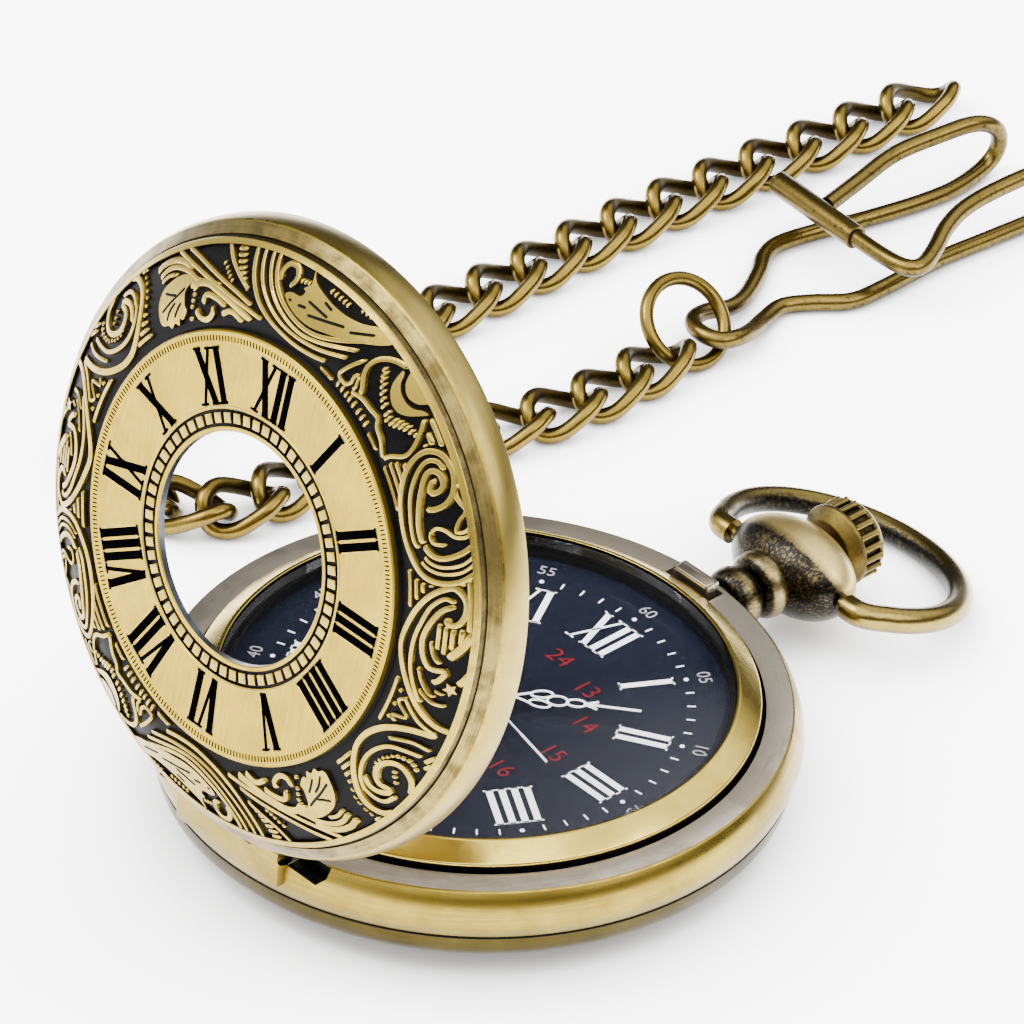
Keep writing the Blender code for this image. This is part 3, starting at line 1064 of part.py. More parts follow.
def build_clip():
    ring = [(*polar(RING_RADIUS, 360.0 * i / RING_POINTS), 0.0) for i in range(RING_POINTS)]
    curve = wire_curve("jump_ring", ring, RING_WIRE_RADIUS, cyclic=True)
    obj = part("jump_ring", curve, (BRASS, 0.35, 1.0))
    obj.location = RING_CENTRE
    obj.rotation_euler.y = math.radians(RING_LEAN)

    route = [Vector(p) * MM for p in CLIP_ROUTE]
    bend = smooth_route(route, 2)
    part("clip_wire", wire_curve("clip_wire", bend, CLIP_WIRE_RADIUS), (BRASS, 0.45, 1.0))

    axis = (route[-2] - route[-1]).normalized()
    inner = CLIP_WIRE_RADIUS + RUNNING_FIT
    sleeve = turned("clip_sleeve", [
        (inner, SLEEVE_LENGTH), (SLEEVE_RADIUS, SLEEVE_LENGTH), (SLEEVE_RADIUS, 0.0), (inner, 0.0),
    ], (BRASS, 0.4, 1.0), steps=SMALL_STEPS)
    start = route[-1] - axis * SLEEVE_OVERHANG
    sleeve.matrix_world = Matrix.Translation(start) @ axis.to_track_quat("Z", "Y").to_matrix().to_4x4()


clear_scene()
PARTS = new_collection("pocket_watch")
CUTTERS = new_collection("pocket_watch_cutters")
build_case()
build_bezel_and_crystal()
build_dial_and_hands()
build_cover()
build_springs()
build_pendant()
build_bow()
build_crown_and_stem()
axes = build_train()
build_plates(*axes)
build_motor_and_battery(axes[2])
build_chain()
build_clip()
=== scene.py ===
"""Looks for the pocket watch: smooth pieces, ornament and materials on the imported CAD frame.

Lengths are in millimetres in the same frame as the part, and become metres when a mesh is made.
"""
import math

import bmesh
import bpy
from mathutils import Matrix, Vector


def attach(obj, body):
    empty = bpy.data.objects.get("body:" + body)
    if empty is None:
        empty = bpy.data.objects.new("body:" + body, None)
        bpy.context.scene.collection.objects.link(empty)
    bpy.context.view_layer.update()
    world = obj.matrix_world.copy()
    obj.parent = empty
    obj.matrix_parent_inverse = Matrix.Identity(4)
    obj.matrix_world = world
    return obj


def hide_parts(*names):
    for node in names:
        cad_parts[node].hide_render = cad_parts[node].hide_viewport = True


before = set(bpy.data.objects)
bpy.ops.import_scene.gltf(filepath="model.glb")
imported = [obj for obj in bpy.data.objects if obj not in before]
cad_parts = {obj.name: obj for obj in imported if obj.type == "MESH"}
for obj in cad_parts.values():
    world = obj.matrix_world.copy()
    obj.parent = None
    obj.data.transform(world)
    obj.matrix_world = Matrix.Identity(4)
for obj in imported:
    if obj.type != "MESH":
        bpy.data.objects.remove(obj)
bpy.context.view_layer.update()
MM = 0.001
SHARP_ANGLE = 35.0
# Finishes: the radius at which a turned grain is true to scale, and how fine and how dense dark specks are
GRAIN_RADIUS = 22.0
SPECK_SCALE, SPECK_RANGE = 2.2, (0.56, 0.66)

# Camera, fitted to the photograph
CAMERA_AZIMUTH = 46.26
CAMERA_ELEVATION = 35.54
CAMERA_ROLL = 2.55
CAMERA_TARGET = (-7.88, 10.21, 15.20)
CAMERA_DISTANCE = 718.0
CAMERA_LENS = 351.56

# Case, as in the part
CASE_RADIUS = 23.5
LIP_OUTER, LIP_HEIGHT = 22.7, 8.02
LIP_INNER = 20.6
BEZEL_SEAT = 7.5
SHELF_RADIUS, SHELF_UNDERSIDE = 19.0, 6.9
CASE_BORE = 21.05
SEAM_RADIUS, SEAM_HEIGHT, SEAM_WIDTH = 23.0, 4.25, 0.12
WALL_PROFILE = ((23.25, 7.12), (CASE_RADIUS, 6.0), (23.45, 5.2))
BACK_PROFILE = ((22.95, 3.5), (22.7, 2.7), (21.9, 2.05), (20.5, 1.43), (17.2, 0.5), (14.5, 0.1), (12.4, 0.0))
BACK_INSIDE = ((0.0, 0.95), (12.4, 0.95), (17.2, 1.45), (20.5, 2.38))
BACK_SPIGOT, BACK_SPIGOT_BORE, BACK_SPIGOT_RISE = 21.0, 20.5, 0.65
BEZEL_RADIUS, BEZEL_OUTER_HEIGHT = 20.35, 8.58
BEZEL_BORE, BEZEL_TOP = 18.5, 9.58
BEZEL_LEDGE, BEZEL_LEDGE_HEIGHT = 17.95, 8.5
CRYSTAL_RADIUS = 18.45
CRYSTAL_BOTTOM, CRYSTAL_EDGE, CRYSTAL_DOME, CRYSTAL_WALL = 8.55, 0.75, 1.55, 0.8
DIAL_HEIGHT, DIAL_EDGE, DIAL_HOLE = 7.4, 18.95, 0.93
PENDANT_Z = 5.0

# Bores along the stem: start, end, radius and sides
NECK_SEAT, STEM_PASSAGE = (22.35, 24.0, 1.65, 32), (20.0, 23.0, 1.01, 24)

# Cover, drawn shut with heights above the hinge axis
COVER_OPEN = 76.7
HINGE_Y, HINGE_Z = -22.72, 8.12
DOME_OUTER, DOME_OUTER_HEIGHT = 21.2, 3.45
DOME_INNER, DOME_INNER_HEIGHT = 15.9, 5.3
DISC_RADIUS, DISC_HEIGHT = 15.24, 5.7
SQUARES_OUTER, SQUARES_INNER, SQUARES_DEPTH = 9.75, 8.55, 0.25
WINDOW_RADIUS = 8.2
GROUND_DEPTH = 0.24
BORDER_INNER, GROOVE_HEIGHT, FLANGE_EDGE = 20.85, 2.68, 2.2
KNUCKLE_RADIUS = 0.85
COVER_KNUCKLE, CASE_KNUCKLE = 5.0, 2.8
KNUCKLE_GAP = 0.06
HINGE_BLOCK_BOTTOM, HINGE_BLOCK_DEPTH = 5.6, 1.5
NOTCH_LENGTH, NOTCH_WIDTH, NOTCH_FLOOR = 3.0, 2.3, 7.2
NOTCH_START, NOTCH_SHADE_START = -24.0, -22.6
CATCH_ROOM = (-2.6, 2.1)
CATCH_SLOT = (20.45, 5.69), (22.2, 8.75)
CATCH_PASSAGE, CATCH_POCKET = ((20.45, -0.3), (22.06, 0.75)), ((21.0, 0.3), (22.3, 0.76))
CATCH_HEAD, CATCH_HEAD_ROUNDING = ((-2.03, 20.96, 7.3), (1.53, 22.03, 8.79)), 0.24

# Hands, as in the part: clock angle, underside, pipe and length
HOUR_HAND = (304.3, 7.75, 0.75, 8.2)
MINUTE_HAND = (51.1, 8.2, 0.42, 11.8)
SECONDS_HAND, SECONDS_TAIL = (102.6, 8.62, 0.15, 9.9), 3.4
HAND_THICKNESS = 0.15


class Shape:
    """Vertices, faces, material numbers and the level of wear and painted top light, gathered before they
    become one object.
    """

    def __init__(self):
        self.verts, self.faces, self.mats, self.wear = [], [], [], []

    def add(self, verts, faces, mat=0, wear=None):
        start = len(self.verts)
        self.verts += [Vector(v) for v in verts]
        self.faces += [tuple(start + i for i in face) for face in faces]
        self.mats += list(mat) if isinstance(mat, (list, tuple)) else [mat] * len(faces)
        self.wear += list(wear) if wear else [0.5] * len(verts)

    def build(self, name, looks, sharp=SHARP_ANGLE, matrix=None):
        mesh = bpy.data.meshes.new(name)
        mesh.from_pydata([v * MM for v in self.verts], [], self.faces)
        for look in looks:
            mesh.materials.append(LOOKS[look])
        mesh.polygons.foreach_set("material_index", self.mats)
        mesh.polygons.foreach_set("use_smooth", [True] * len(self.faces))
        # A per-vertex level of wear, and on some pieces painted top light, read by the metals.
        wear = mesh.attributes.new("wear", "FLOAT", "POINT")
        wear.data.foreach_set("value", self.wear)
        mesh.update()
        shape = bmesh.new()
        shape.from_mesh(mesh)
        bmesh.ops.recalc_face_normals(shape, faces=shape.faces)
        shape.to_mesh(mesh)
        shape.free()
        mesh.set_sharp_from_angle(angle=math.radians(sharp))
        obj = bpy.data.objects.new(name, mesh)
        bpy.context.scene.collection.objects.link(obj)
        if matrix is not None:
            obj.matrix_world = matrix
        return obj


def settle(obj, body, nodes):
    """Hang a finished piece on its body in place of the CAD nodes it stands for."""
    bpy.context.view_layer.update()
    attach(obj, body)
    if nodes:
        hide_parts(*nodes)
    return obj


def polar(radius, clock):
    """A point at a clock angle in degrees, clockwise from 12."""
    turn = math.radians(clock)
    return radius * math.sin(turn), radius * math.cos(turn)


def rounded(profile, size, steps=4):
    """A line of (radius, height) points with its corners rounded. Size is one radius or one per corner."""
    points = [Vector((p[0], p[1])) for p in profile]
    out = [points[0]]
    for number, (a, b, c) in enumerate(zip(points, points[1:], points[2:]), 1):
        reach = size if isinstance(size, (int, float)) else size.get(number, 0.0)
        reach = min(reach, (a - b).length * 0.49, (c - b).length * 0.49)
        if reach <= 0.0:
            out.append(b)
            continue
        start = b + (a - b).normalized() * reach
        end = b + (c - b).normalized() * reach
        for i in range(steps + 1):
            t = i / steps
            out.append(start * (1 - t) ** 2 + b * 2 * t * (1 - t) + end * t * t)
    return [tuple(p) for p in out + [points[-1]]]


def lathe(shape, profile, steps=192, mat=0, wear=None, frame_matrix=None, closed=False):
    """Turn a profile about Z. The level of wear and painted top light, and mat, may be functions of a profile
    point.
    """
    rings, verts, levels = [], [], []
    for radius, height in profile:
        count = 1 if radius < 1e-6 else steps
        rings.append([len(verts) + i for i in range(count)])
        for i in range(count):
            turn = math.tau * i / steps
            verts.append(Vector((radius * math.cos(turn), radius * math.sin(turn), height)))
            levels.append(wear(radius, height) if wear else 0.5)
    faces, mats = [], []
    pairs = list(zip(range(len(rings)), range(1, len(rings))))
    if closed:
        pairs.append((len(rings) - 1, 0))
    for first, second in pairs:
        low, high = rings[first], rings[second]
        middle = [(profile[first][k] + profile[second][k]) / 2 for k in (0, 1)]
        number = mat(*middle) if callable(mat) else mat
        for i in range(steps):
            j = (i + 1) % steps
            if len(low) == 1 and len(high) == 1:
                break
            if len(low) == 1:
                faces.append((low[0], high[i], high[j]))
            elif len(high) == 1:
                faces.append((low[i], high[0], low[j]))
            else:
                faces.append((low[i], high[i], high[j], low[j]))
            mats.append(number)
    if frame_matrix is not None:
        verts = [frame_matrix @ v for v in verts]
    shape.add(verts, faces, mats, levels)


def smooth_route(points, steps, closed=False):
    """Points along a Catmull-Rom curve through the route's own points."""
    route = [Vector(p) for p in points]
    if closed:
        route = [route[-1]] + route + route[:2]
    else:
        route = [2 * route[0] - route[1]] + route + [2 * route[-1] - route[-2]]
    out = []
    for a, b, c, d in zip(route, route[1:], route[2:], route[3:]):
        for step in range(steps):
            t = step / steps
            out.append(0.5 * (2 * b + (c - a) * t + (2 * a - 5 * b + 4 * c - d) * t**2
                              + (3 * b - a - 3 * c + d) * t**3))
    return out if closed else out + [route[-2]]


def tube(shape, points, radius, sides=16, closed=False, radii=None, wear=None, mat=0):
    """A round wire through the points, carried along without twisting. Its level of wear and painted top
    light depends on place and normal.
    """
    count = len(points)
    tangents = []
    for i in range(count):
        before = points[i - 1] if closed or i else points[0]
        after = points[(i + 1) % count] if closed or i < count - 1 else points[-1]
        tangents.append((after - before).normalized())
    up = Vector((0.0, 0.0, 1.0))
    if abs(tangents[0].dot(up)) > 0.9:
        up = Vector((1.0, 0.0, 0.0))
    normal = (up - tangents[0] * up.dot(tangents[0])).normalized()
    normals = [normal]
    for a, b in zip(tangents, tangents[1:]):
        normal = a.rotation_difference(b) @ normal
        normals.append((normal - b * normal.dot(b)).normalized())
    twist = 0.0
    if closed:
        back = tangents[-1].rotation_difference(tangents[0]) @ normals[-1]
        side = tangents[0].cross(normals[0])
        twist = -math.atan2(back.dot(side), back.dot(normals[0]))
    verts, levels = [], []
    for i, point in enumerate(points):
        size = radius * (radii[i] if radii else 1.0)
        binormal = tangents[i].cross(normals[i])
        for k in range(sides):
            turn = math.tau * k / sides + twist * i / count
            out = normals[i] * math.cos(turn) + binormal * math.sin(turn)
            verts.append(point + out * size)
            levels.append(wear(point, out) if wear else 0.5)
    faces = []
    for i in range(count if closed else count - 1):
        j = (i + 1) % count
        for k in range(sides):
            m = (k + 1) % sides
            faces.append((i * sides + k, i * sides + m, j * sides + m, j * sides + k))
    if not closed:
        faces.append(tuple(range(sides)))
        faces.append(tuple((count - 1) * sides + k for k in range(sides)))
    shape.add(verts, faces, mat, levels)


def block(shape, low, high, bevel, mat=0, wear=None, frame_matrix=None):
    """A box with rounded edges."""
    solid = bmesh.new()
    size = Vector(high) - Vector(low)
    place = Matrix.Translation((Vector(low) + Vector(high)) / 2) @ Matrix.Diagonal((*size, 1.0))
    bmesh.ops.create_cube(solid, size=1.0, matrix=place)
    bmesh.ops.bevel(solid, geom=list(solid.edges), offset=bevel, segments=3, profile=0.5, affect="EDGES")
    solid.verts.index_update()
    verts = [v.co.copy() for v in solid.verts]
    faces = [tuple(v.index for v in f.verts) for f in solid.faces]
    solid.free()
    if frame_matrix is not None:
        verts = [frame_matrix @ v for v in verts]
    shape.add(verts, faces, mat, [wear] * len(verts) if wear is not None else None)


def plate(shape, outline, low, high, mat=0, height=None, cuts=0):
    """A flat piece from an outline. With a height function its top follows a curved ground."""
    solid = bmesh.new()
    ring = [solid.verts.new((x, y, 0.0)) for x, y in outline]
    edges = [solid.edges.new((a, b)) for a, b in zip(ring, ring[1:] + ring[:1])]
    bmesh.ops.triangle_fill(solid, use_beauty=True, edges=edges)
    if cuts:
        bmesh.ops.subdivide_edges(solid, edges=list(solid.edges), cuts=cuts, use_grid_fill=True)
    rim = [e for e in solid.edges if len(e.link_faces) == 1]
    wall = bmesh.ops.extrude_edge_only(solid, edges=rim)
    bottom = {v for v in wall["geom"] if isinstance(v, bmesh.types.BMVert)}
    under = [e for e in wall["geom"] if isinstance(e, bmesh.types.BMEdge) and set(e.verts) <= bottom]
    bmesh.ops.triangle_fill(solid, use_beauty=True, edges=under)
    for vert in solid.verts:
        ground = height(math.hypot(vert.co.x, vert.co.y)) if height else 0.0
        vert.co.z = ground + (low if vert in bottom else high)
    solid.verts.index_update()
    verts = [v.co.copy() for v in solid.verts]
    faces = [tuple(v.index for v in f.verts) for f in solid.faces]
    solid.free()
    shape.add(verts, faces, mat)


def carve(obj, shapes):
    """Cut shapes, drawn as the piece was, out of it for good, and throw them away."""
    for number, tool_shape in enumerate(shapes):
        tool = tool_shape.build(f"{obj.name}_cut{number}", [], matrix=obj.matrix_world.copy())
        boolean = obj.modifiers.new(tool.name, "BOOLEAN")
        boolean.operation = "DIFFERENCE"
        boolean.object = tool
        boolean.solver = "EXACT"
        bpy.context.view_layer.update()
        mesh = bpy.data.meshes.new_from_object(obj.evaluated_get(bpy.context.evaluated_depsgraph_get()))
        obj.modifiers.clear()
        old = obj.data
        obj.data = mesh
        bpy.data.meshes.remove(old)
        bpy.data.objects.remove(tool, do_unlink=True)
    obj.data.set_sharp_from_angle(angle=math.radians(SHARP_ANGLE))


class Nodes:
    """A node tree, with a short call for each kind of node that the looks are made of."""

    def __init__(self, tree):
        self.nodes, self.new, self.link = tree.nodes, tree.nodes.new, tree.links.new

    def maths(self, operation, a, b=None, clamp=False):
        node = self.new("ShaderNodeMath")
        node.operation = operation
        node.use_clamp = clamp
        for socket, value in zip(node.inputs, (a, b)):
            if isinstance(value, (int, float)):
                socket.default_value = value
            elif value is not None:
                self.link(value, socket)
        return node.outputs[0]

    def coordinates(self, scale, turned=False):
        """Object coordinates in millimetres times a scale. Turned ones are (radius, arc, height) about Z."""
        source = self.new("ShaderNodeTexCoord").outputs["Object"]
        if turned:
            split = self.new("ShaderNodeSeparateXYZ")
            self.link(source, split.inputs[0])
            x, y, z = split.outputs
            square = self.maths("ADD", self.maths("MULTIPLY", x, x), self.maths("MULTIPLY", y, y))
            radius = self.maths("SQRT", square)
            arc = self.maths("MULTIPLY", self.maths("ARCTAN2", y, x), GRAIN_RADIUS * MM)
            join = self.new("ShaderNodeCombineXYZ")
            for socket, value in zip(join.inputs, (radius, arc, z)):
                self.link(value, socket)
            source = join.outputs[0]
        mapping = self.new("ShaderNodeMapping")
        self.link(source, mapping.inputs["Vector"])
        mapping.inputs["Scale"].default_value = tuple(s / MM for s in scale)
        return mapping.outputs[0]

    def noise(self, vector, detail=3.0, rough=0.55, distortion=0.0):
        node = self.new("ShaderNodeTexNoise")
        self.link(vector, node.inputs["Vector"])
        settings = {"Scale": 1.0, "Detail": detail, "Roughness": rough, "Distortion": distortion}
        for name, value in settings.items():
            node.inputs[name].default_value = value
        return node.outputs[0]

    def spread(self, value, low, high, to_low=0.0, to_high=1.0):
        node = self.new("ShaderNodeMapRange")
        self.link(value, node.inputs[0])
        for number, item in enumerate((low, high, to_low, to_high), 1):
            node.inputs[number].default_value = item
        return node.outputs[0]

    def blend(self, factor, first, second):
        node = self.new("ShaderNodeMix")
        node.data_type = "RGBA"
        self.link(factor, node.inputs[0])
        for socket, colour in ((node.inputs[6], first), (node.inputs[7], second)):
            socket.default_value = (*colour, 1.0)
        return node.outputs[2]


def new_material(name):
    look = bpy.data.materials.new(name)
    look.use_nodes = True
    return look, Nodes(look.node_tree), look.node_tree.nodes["Principled BSDF"]


def metal(name, bright, dark, rough=(0.3, 0.45), patch=0.4, patch_range=(0.35, 0.65), grain=(3.0, 3.0, 3.0),
          grain_depth=0.004, grain_tint=0.12, turned=False, wear=None, speck=0.0):
    """Metal with patches of patina, a grain along its finish, and a per-vertex level that turns it bright:
    wear on the places a hand touches and, on some pieces, a painted highlight on the side that faces up.

    Patch and grain are features per millimetre. The range of wear and painted top light is the (low, high)
    span of the piece's own values that turns dark metal bright.
    """
    look, tree, shader = new_material(name)
    shader.inputs["Metallic"].default_value = 1.0
    patches = tree.noise(tree.coordinates((patch,) * 3), 5.0, 0.6, 0.3)
    level = tree.spread(patches, *patch_range)
    if wear:
        wear_and_light_level = tree.new("ShaderNodeAttribute")
        wear_and_light_level.attribute_name = "wear"
        rubbed_and_top_lit = tree.spread(wear_and_light_level.outputs["Fac"], *wear)
        mixed = tree.maths("ADD", rubbed_and_top_lit, tree.maths("MULTIPLY", patches, 0.5))
        level = tree.maths("SUBTRACT", mixed, 0.25, clamp=True)
    fibres = tree.noise(tree.coordinates(grain, turned), 3.0, 0.6)
    tint = tree.spread(fibres, 0.3, 0.7, -grain_tint, grain_tint)
    level = tree.maths("ADD", level, tint, clamp=True)
    if speck:
        spots = tree.noise(tree.coordinates((SPECK_SCALE,) * 3), 4.0, 0.7, 0.5)
        dots = tree.spread(spots, *SPECK_RANGE, 0.0, speck)
        level = tree.maths("SUBTRACT", level, dots, clamp=True)
    tree.link(tree.blend(level, dark, bright), shader.inputs["Base Color"])
    tree.link(tree.spread(level, 0.0, 1.0, rough[1], rough[0]), shader.inputs["Roughness"])
    bump = tree.new("ShaderNodeBump")
    bump.inputs["Strength"].default_value = 1.0
    bump.inputs["Distance"].default_value = grain_depth * MM
    tree.link(fibres, bump.inputs["Height"])
    tree.link(bump.outputs[0], shader.inputs["Normal"])
    return look


def lacquer(name, colour, second, rough, coat=0.0, speckle=1.5, gloss=0.5):
    """Ink, enamel or lacquer: two close shades in a fine mottle, under an optional clear coat."""
    look, tree, shader = new_material(name)
    mottle = tree.noise(tree.coordinates((speckle,) * 3), 4.0, 0.6)
    level = tree.spread(mottle, 0.35, 0.65)
    tree.link(tree.blend(level, colour, second), shader.inputs["Base Color"])
    tree.link(tree.spread(mottle, 0.3, 0.7, rough * 0.85, rough * 1.15), shader.inputs["Roughness"])
    shader.inputs["Specular IOR Level"].default_value = gloss
    shader.inputs["Coat Weight"].default_value = coat
    shader.inputs["Coat Roughness"].default_value = 0.08
    return look


def glass(name):
    """Clear crystal that lets light through to the dial, with faint wipe marks in its gloss."""
    look, tree, shader = new_material(name)
    shader.inputs["Base Color"].default_value = (1.0, 1.0, 1.0, 1.0)
    shader.inputs["Transmission Weight"].default_value = 1.0
    shader.inputs["IOR"].default_value = 1.22
    wipes = tree.noise(tree.coordinates((0.5, 0.12, 0.5)), 4.0, 0.6)
    tree.link(tree.spread(wipes, 0.4, 0.75, 0.0, 0.05), shader.inputs["Roughness"])
    clear = tree.new("ShaderNodeBsdfTransparent")
    path = tree.new("ShaderNodeLightPath")
    choice = tree.new("ShaderNodeMixShader")
    tree.link(path.outputs["Is Shadow Ray"], choice.inputs[0])
    tree.link(shader.outputs[0], choice.inputs[1])
    tree.link(clear.outputs[0], choice.inputs[2])
    tree.link(choice.outputs[0], tree.nodes["Material Output"].inputs["Surface"])
    return look


LOOKS = {
    "disc": metal("brushed_disc", (0.3, 0.207, 0.016), (0.225, 0.152, 0.009), (0.36, 0.44), 0.25,
        (0.3, 0.7), (9.0, 0.35, 9.0), 0.003, 0.4),
    "ornament": metal("ornament_gold", (0.285, 0.203, 0.034), (0.21, 0.145, 0.018), (0.26, 0.4), 0.9,
        (0.3, 0.6), (5.0, 5.0, 5.0), 0.004, 0.15),
    "band": metal("cover_band", (0.18, 0.133, 0.04), (0.065, 0.047, 0.013), (0.3, 0.42), 0.55, (0.35, 0.62),
        (8.0, 0.2, 8.0), 0.004, 0.35, turned=True),
    "bezel": metal("bezel_gold", (0.6, 0.44, 0.085), (0.48, 0.34, 0.05), (0.18, 0.28), 0.3, (0.3, 0.6),
        (7.0, 0.2, 7.0), 0.002, 0.15, turned=True),
    "lip": metal("brushed_lip", (0.66, 0.59, 0.48), (0.36, 0.31, 0.235), (0.32, 0.48), 0.22, (0.4, 0.62),
        (9.0, 0.4, 9.0), 0.004, 0.35, turned=True),
    "wall": metal("case_wall", (0.25, 0.177, 0.03), (0.15, 0.102, 0.013), (0.24, 0.36), 0.2, (0.3, 0.7),
        (7.0, 0.2, 7.0), 0.003, 0.25, turned=True),
    "back": metal("case_back_gold", (0.055, 0.04, 0.0095), (0.032, 0.023, 0.005), (0.28, 0.42), 0.2,
        (0.3, 0.7), (6.0, 0.25, 6.0), 0.004, 0.25, turned=True),
    "window": metal("window_wall", (0.072, 0.081, 0.099), (0.027, 0.032, 0.041), (0.3, 0.42), 0.6,
        (0.3, 0.65), (4.0, 4.0, 4.0), 0.004, 0.2),
    # The black ground of the ornament, also laid as painted shade in the gaps and seams of the case and
    # bezel.
    "ground": lacquer("black_ground", (0.0008, 0.0008, 0.001), (0.0018, 0.0018, 0.002), 0.4, gloss=0.03),
    "ink": lacquer("black_ink", (0.0004, 0.0004, 0.0004), (0.0008, 0.0008, 0.0008), 0.55, gloss=0.0),
    "dial": lacquer("dial_enamel", (0.0028, 0.0036, 0.0088), (0.0036, 0.0045, 0.0108), 0.24, 0.25, gloss=0.2),
    "white": lacquer("white_print", (0.88, 0.88, 0.87), (0.94, 0.94, 0.93), 0.5),
    "grey": lacquer("grey_print", (0.22, 0.22, 0.23), (0.28, 0.28, 0.29), 0.5),
    "red": lacquer("red_print", (0.105, 0.004, 0.006), (0.13, 0.005, 0.008), 0.5, gloss=0.1),
    "hands": lacquer("hand_white", (0.86, 0.86, 0.84), (0.93, 0.93, 0.91), 0.3, 0.3),
    "glass": glass("crystal_glass"),
    "rim": metal("cover_rim", (0.31, 0.232, 0.062), (0.22, 0.16, 0.036), (0.26, 0.38), 0.25, (0.3, 0.7),
        (8.0, 0.2, 8.0), 0.003, 0.25, turned=True),
    "groove": metal("dark_groove", (0.1, 0.074, 0.028), (0.03, 0.022, 0.009), (0.35, 0.5), 0.7, (0.3, 0.65),
        (5.0, 5.0, 5.0), 0.004, 0.2),
    "patina": metal("pendant_patina", (0.58, 0.435, 0.16), (0.01, 0.0095, 0.009), (0.4, 0.28), 0.5,
        (0.4, 0.7), (6.0, 1.5, 6.0), 0.006, 0.12, wear=(0.3, 0.85), speck=0.03),
    "crown": metal("crown_brass", (0.16, 0.114, 0.03), (0.012, 0.009, 0.003), (0.34, 0.48), 0.8, (0.3, 0.6),
        (5.0, 5.0, 5.0), 0.006, 0.15, wear=(0.15, 0.75)),
    "bow": metal("bow_gold", (0.22, 0.157, 0.04), (0.006, 0.006, 0.006), (0.24, 0.36), 0.35, (0.35, 0.65),
        (4.0, 4.0, 4.0), 0.005, 0.15, wear=(0.2, 0.75), speck=0.12),
    "bronze": metal("chain_bronze", (0.16, 0.108, 0.02), (0.032, 0.021, 0.005), (0.24, 0.4), 0.8,
        (0.3, 0.6), (5.0, 5.0, 5.0), 0.005, 0.15, wear=(0.15, 0.75), speck=0.2),
    "clip": metal("clip_brass", (0.155, 0.106, 0.024), (0.022, 0.016, 0.005), (0.26, 0.43), 0.45,
        (0.38, 0.6), (3.5, 3.5, 3.5), 0.008, 0.2, wear=(0.1, 0.75), speck=0.6),
    "steel": metal("spring_steel", (0.372, 0.372, 0.372), (0.24, 0.24, 0.246), (0.25, 0.35), 0.5,
        (0.3, 0.6), (6.0, 1.0, 6.0), 0.002, 0.15),
    "brass": metal("movement_brass", (0.372, 0.276, 0.114), (0.27, 0.192, 0.072), (0.28, 0.4), 0.4,
        (0.3, 0.6), (8.0, 8.0, 8.0), 0.002, 0.15),
    "copper": metal("motor_copper", (0.33, 0.144, 0.066), (0.21, 0.084, 0.036), (0.3, 0.42), 0.5,
        (0.3, 0.6), (9.0, 0.5, 0.5), 0.006, 0.3),
    "catch": metal("catch_patina", (0.45, 0.39, 0.3), (0.26, 0.215, 0.15), (0.3, 0.43), 0.6, (0.3, 0.65),
        (5.0, 5.0, 5.0), 0.004, 0.2),
}


def hinge_room():
    """The space that the cover's knuckle turns in."""
    side = COVER_KNUCKLE / 2 + KNUCKLE_GAP
    room = Shape()
    tube(room, [Vector((x, HINGE_Y, HINGE_Z)) for x in (-side, side)], KNUCKLE_RADIUS + KNUCKLE_GAP, 32)
    return room


def pendant_bores():
    """The neck's seat and the stem's passage through the side of the case."""
    bores = []
    for first, last, radius, sides in (NECK_SEAT, STEM_PASSAGE):
        bore = Shape()
        tube(bore, [Vector((0.0, y, PENDANT_Z)) for y in (first, last)], radius, sides)
        bores.append(bore)
    return bores


def catch_cut(low, high, bevel):
    """A box of room for the catch, between two (distance, height) corners."""
    cut = Shape()
    block(cut, (CATCH_ROOM[0], *low), (CATCH_ROOM[1], *high), bevel)
    return cut


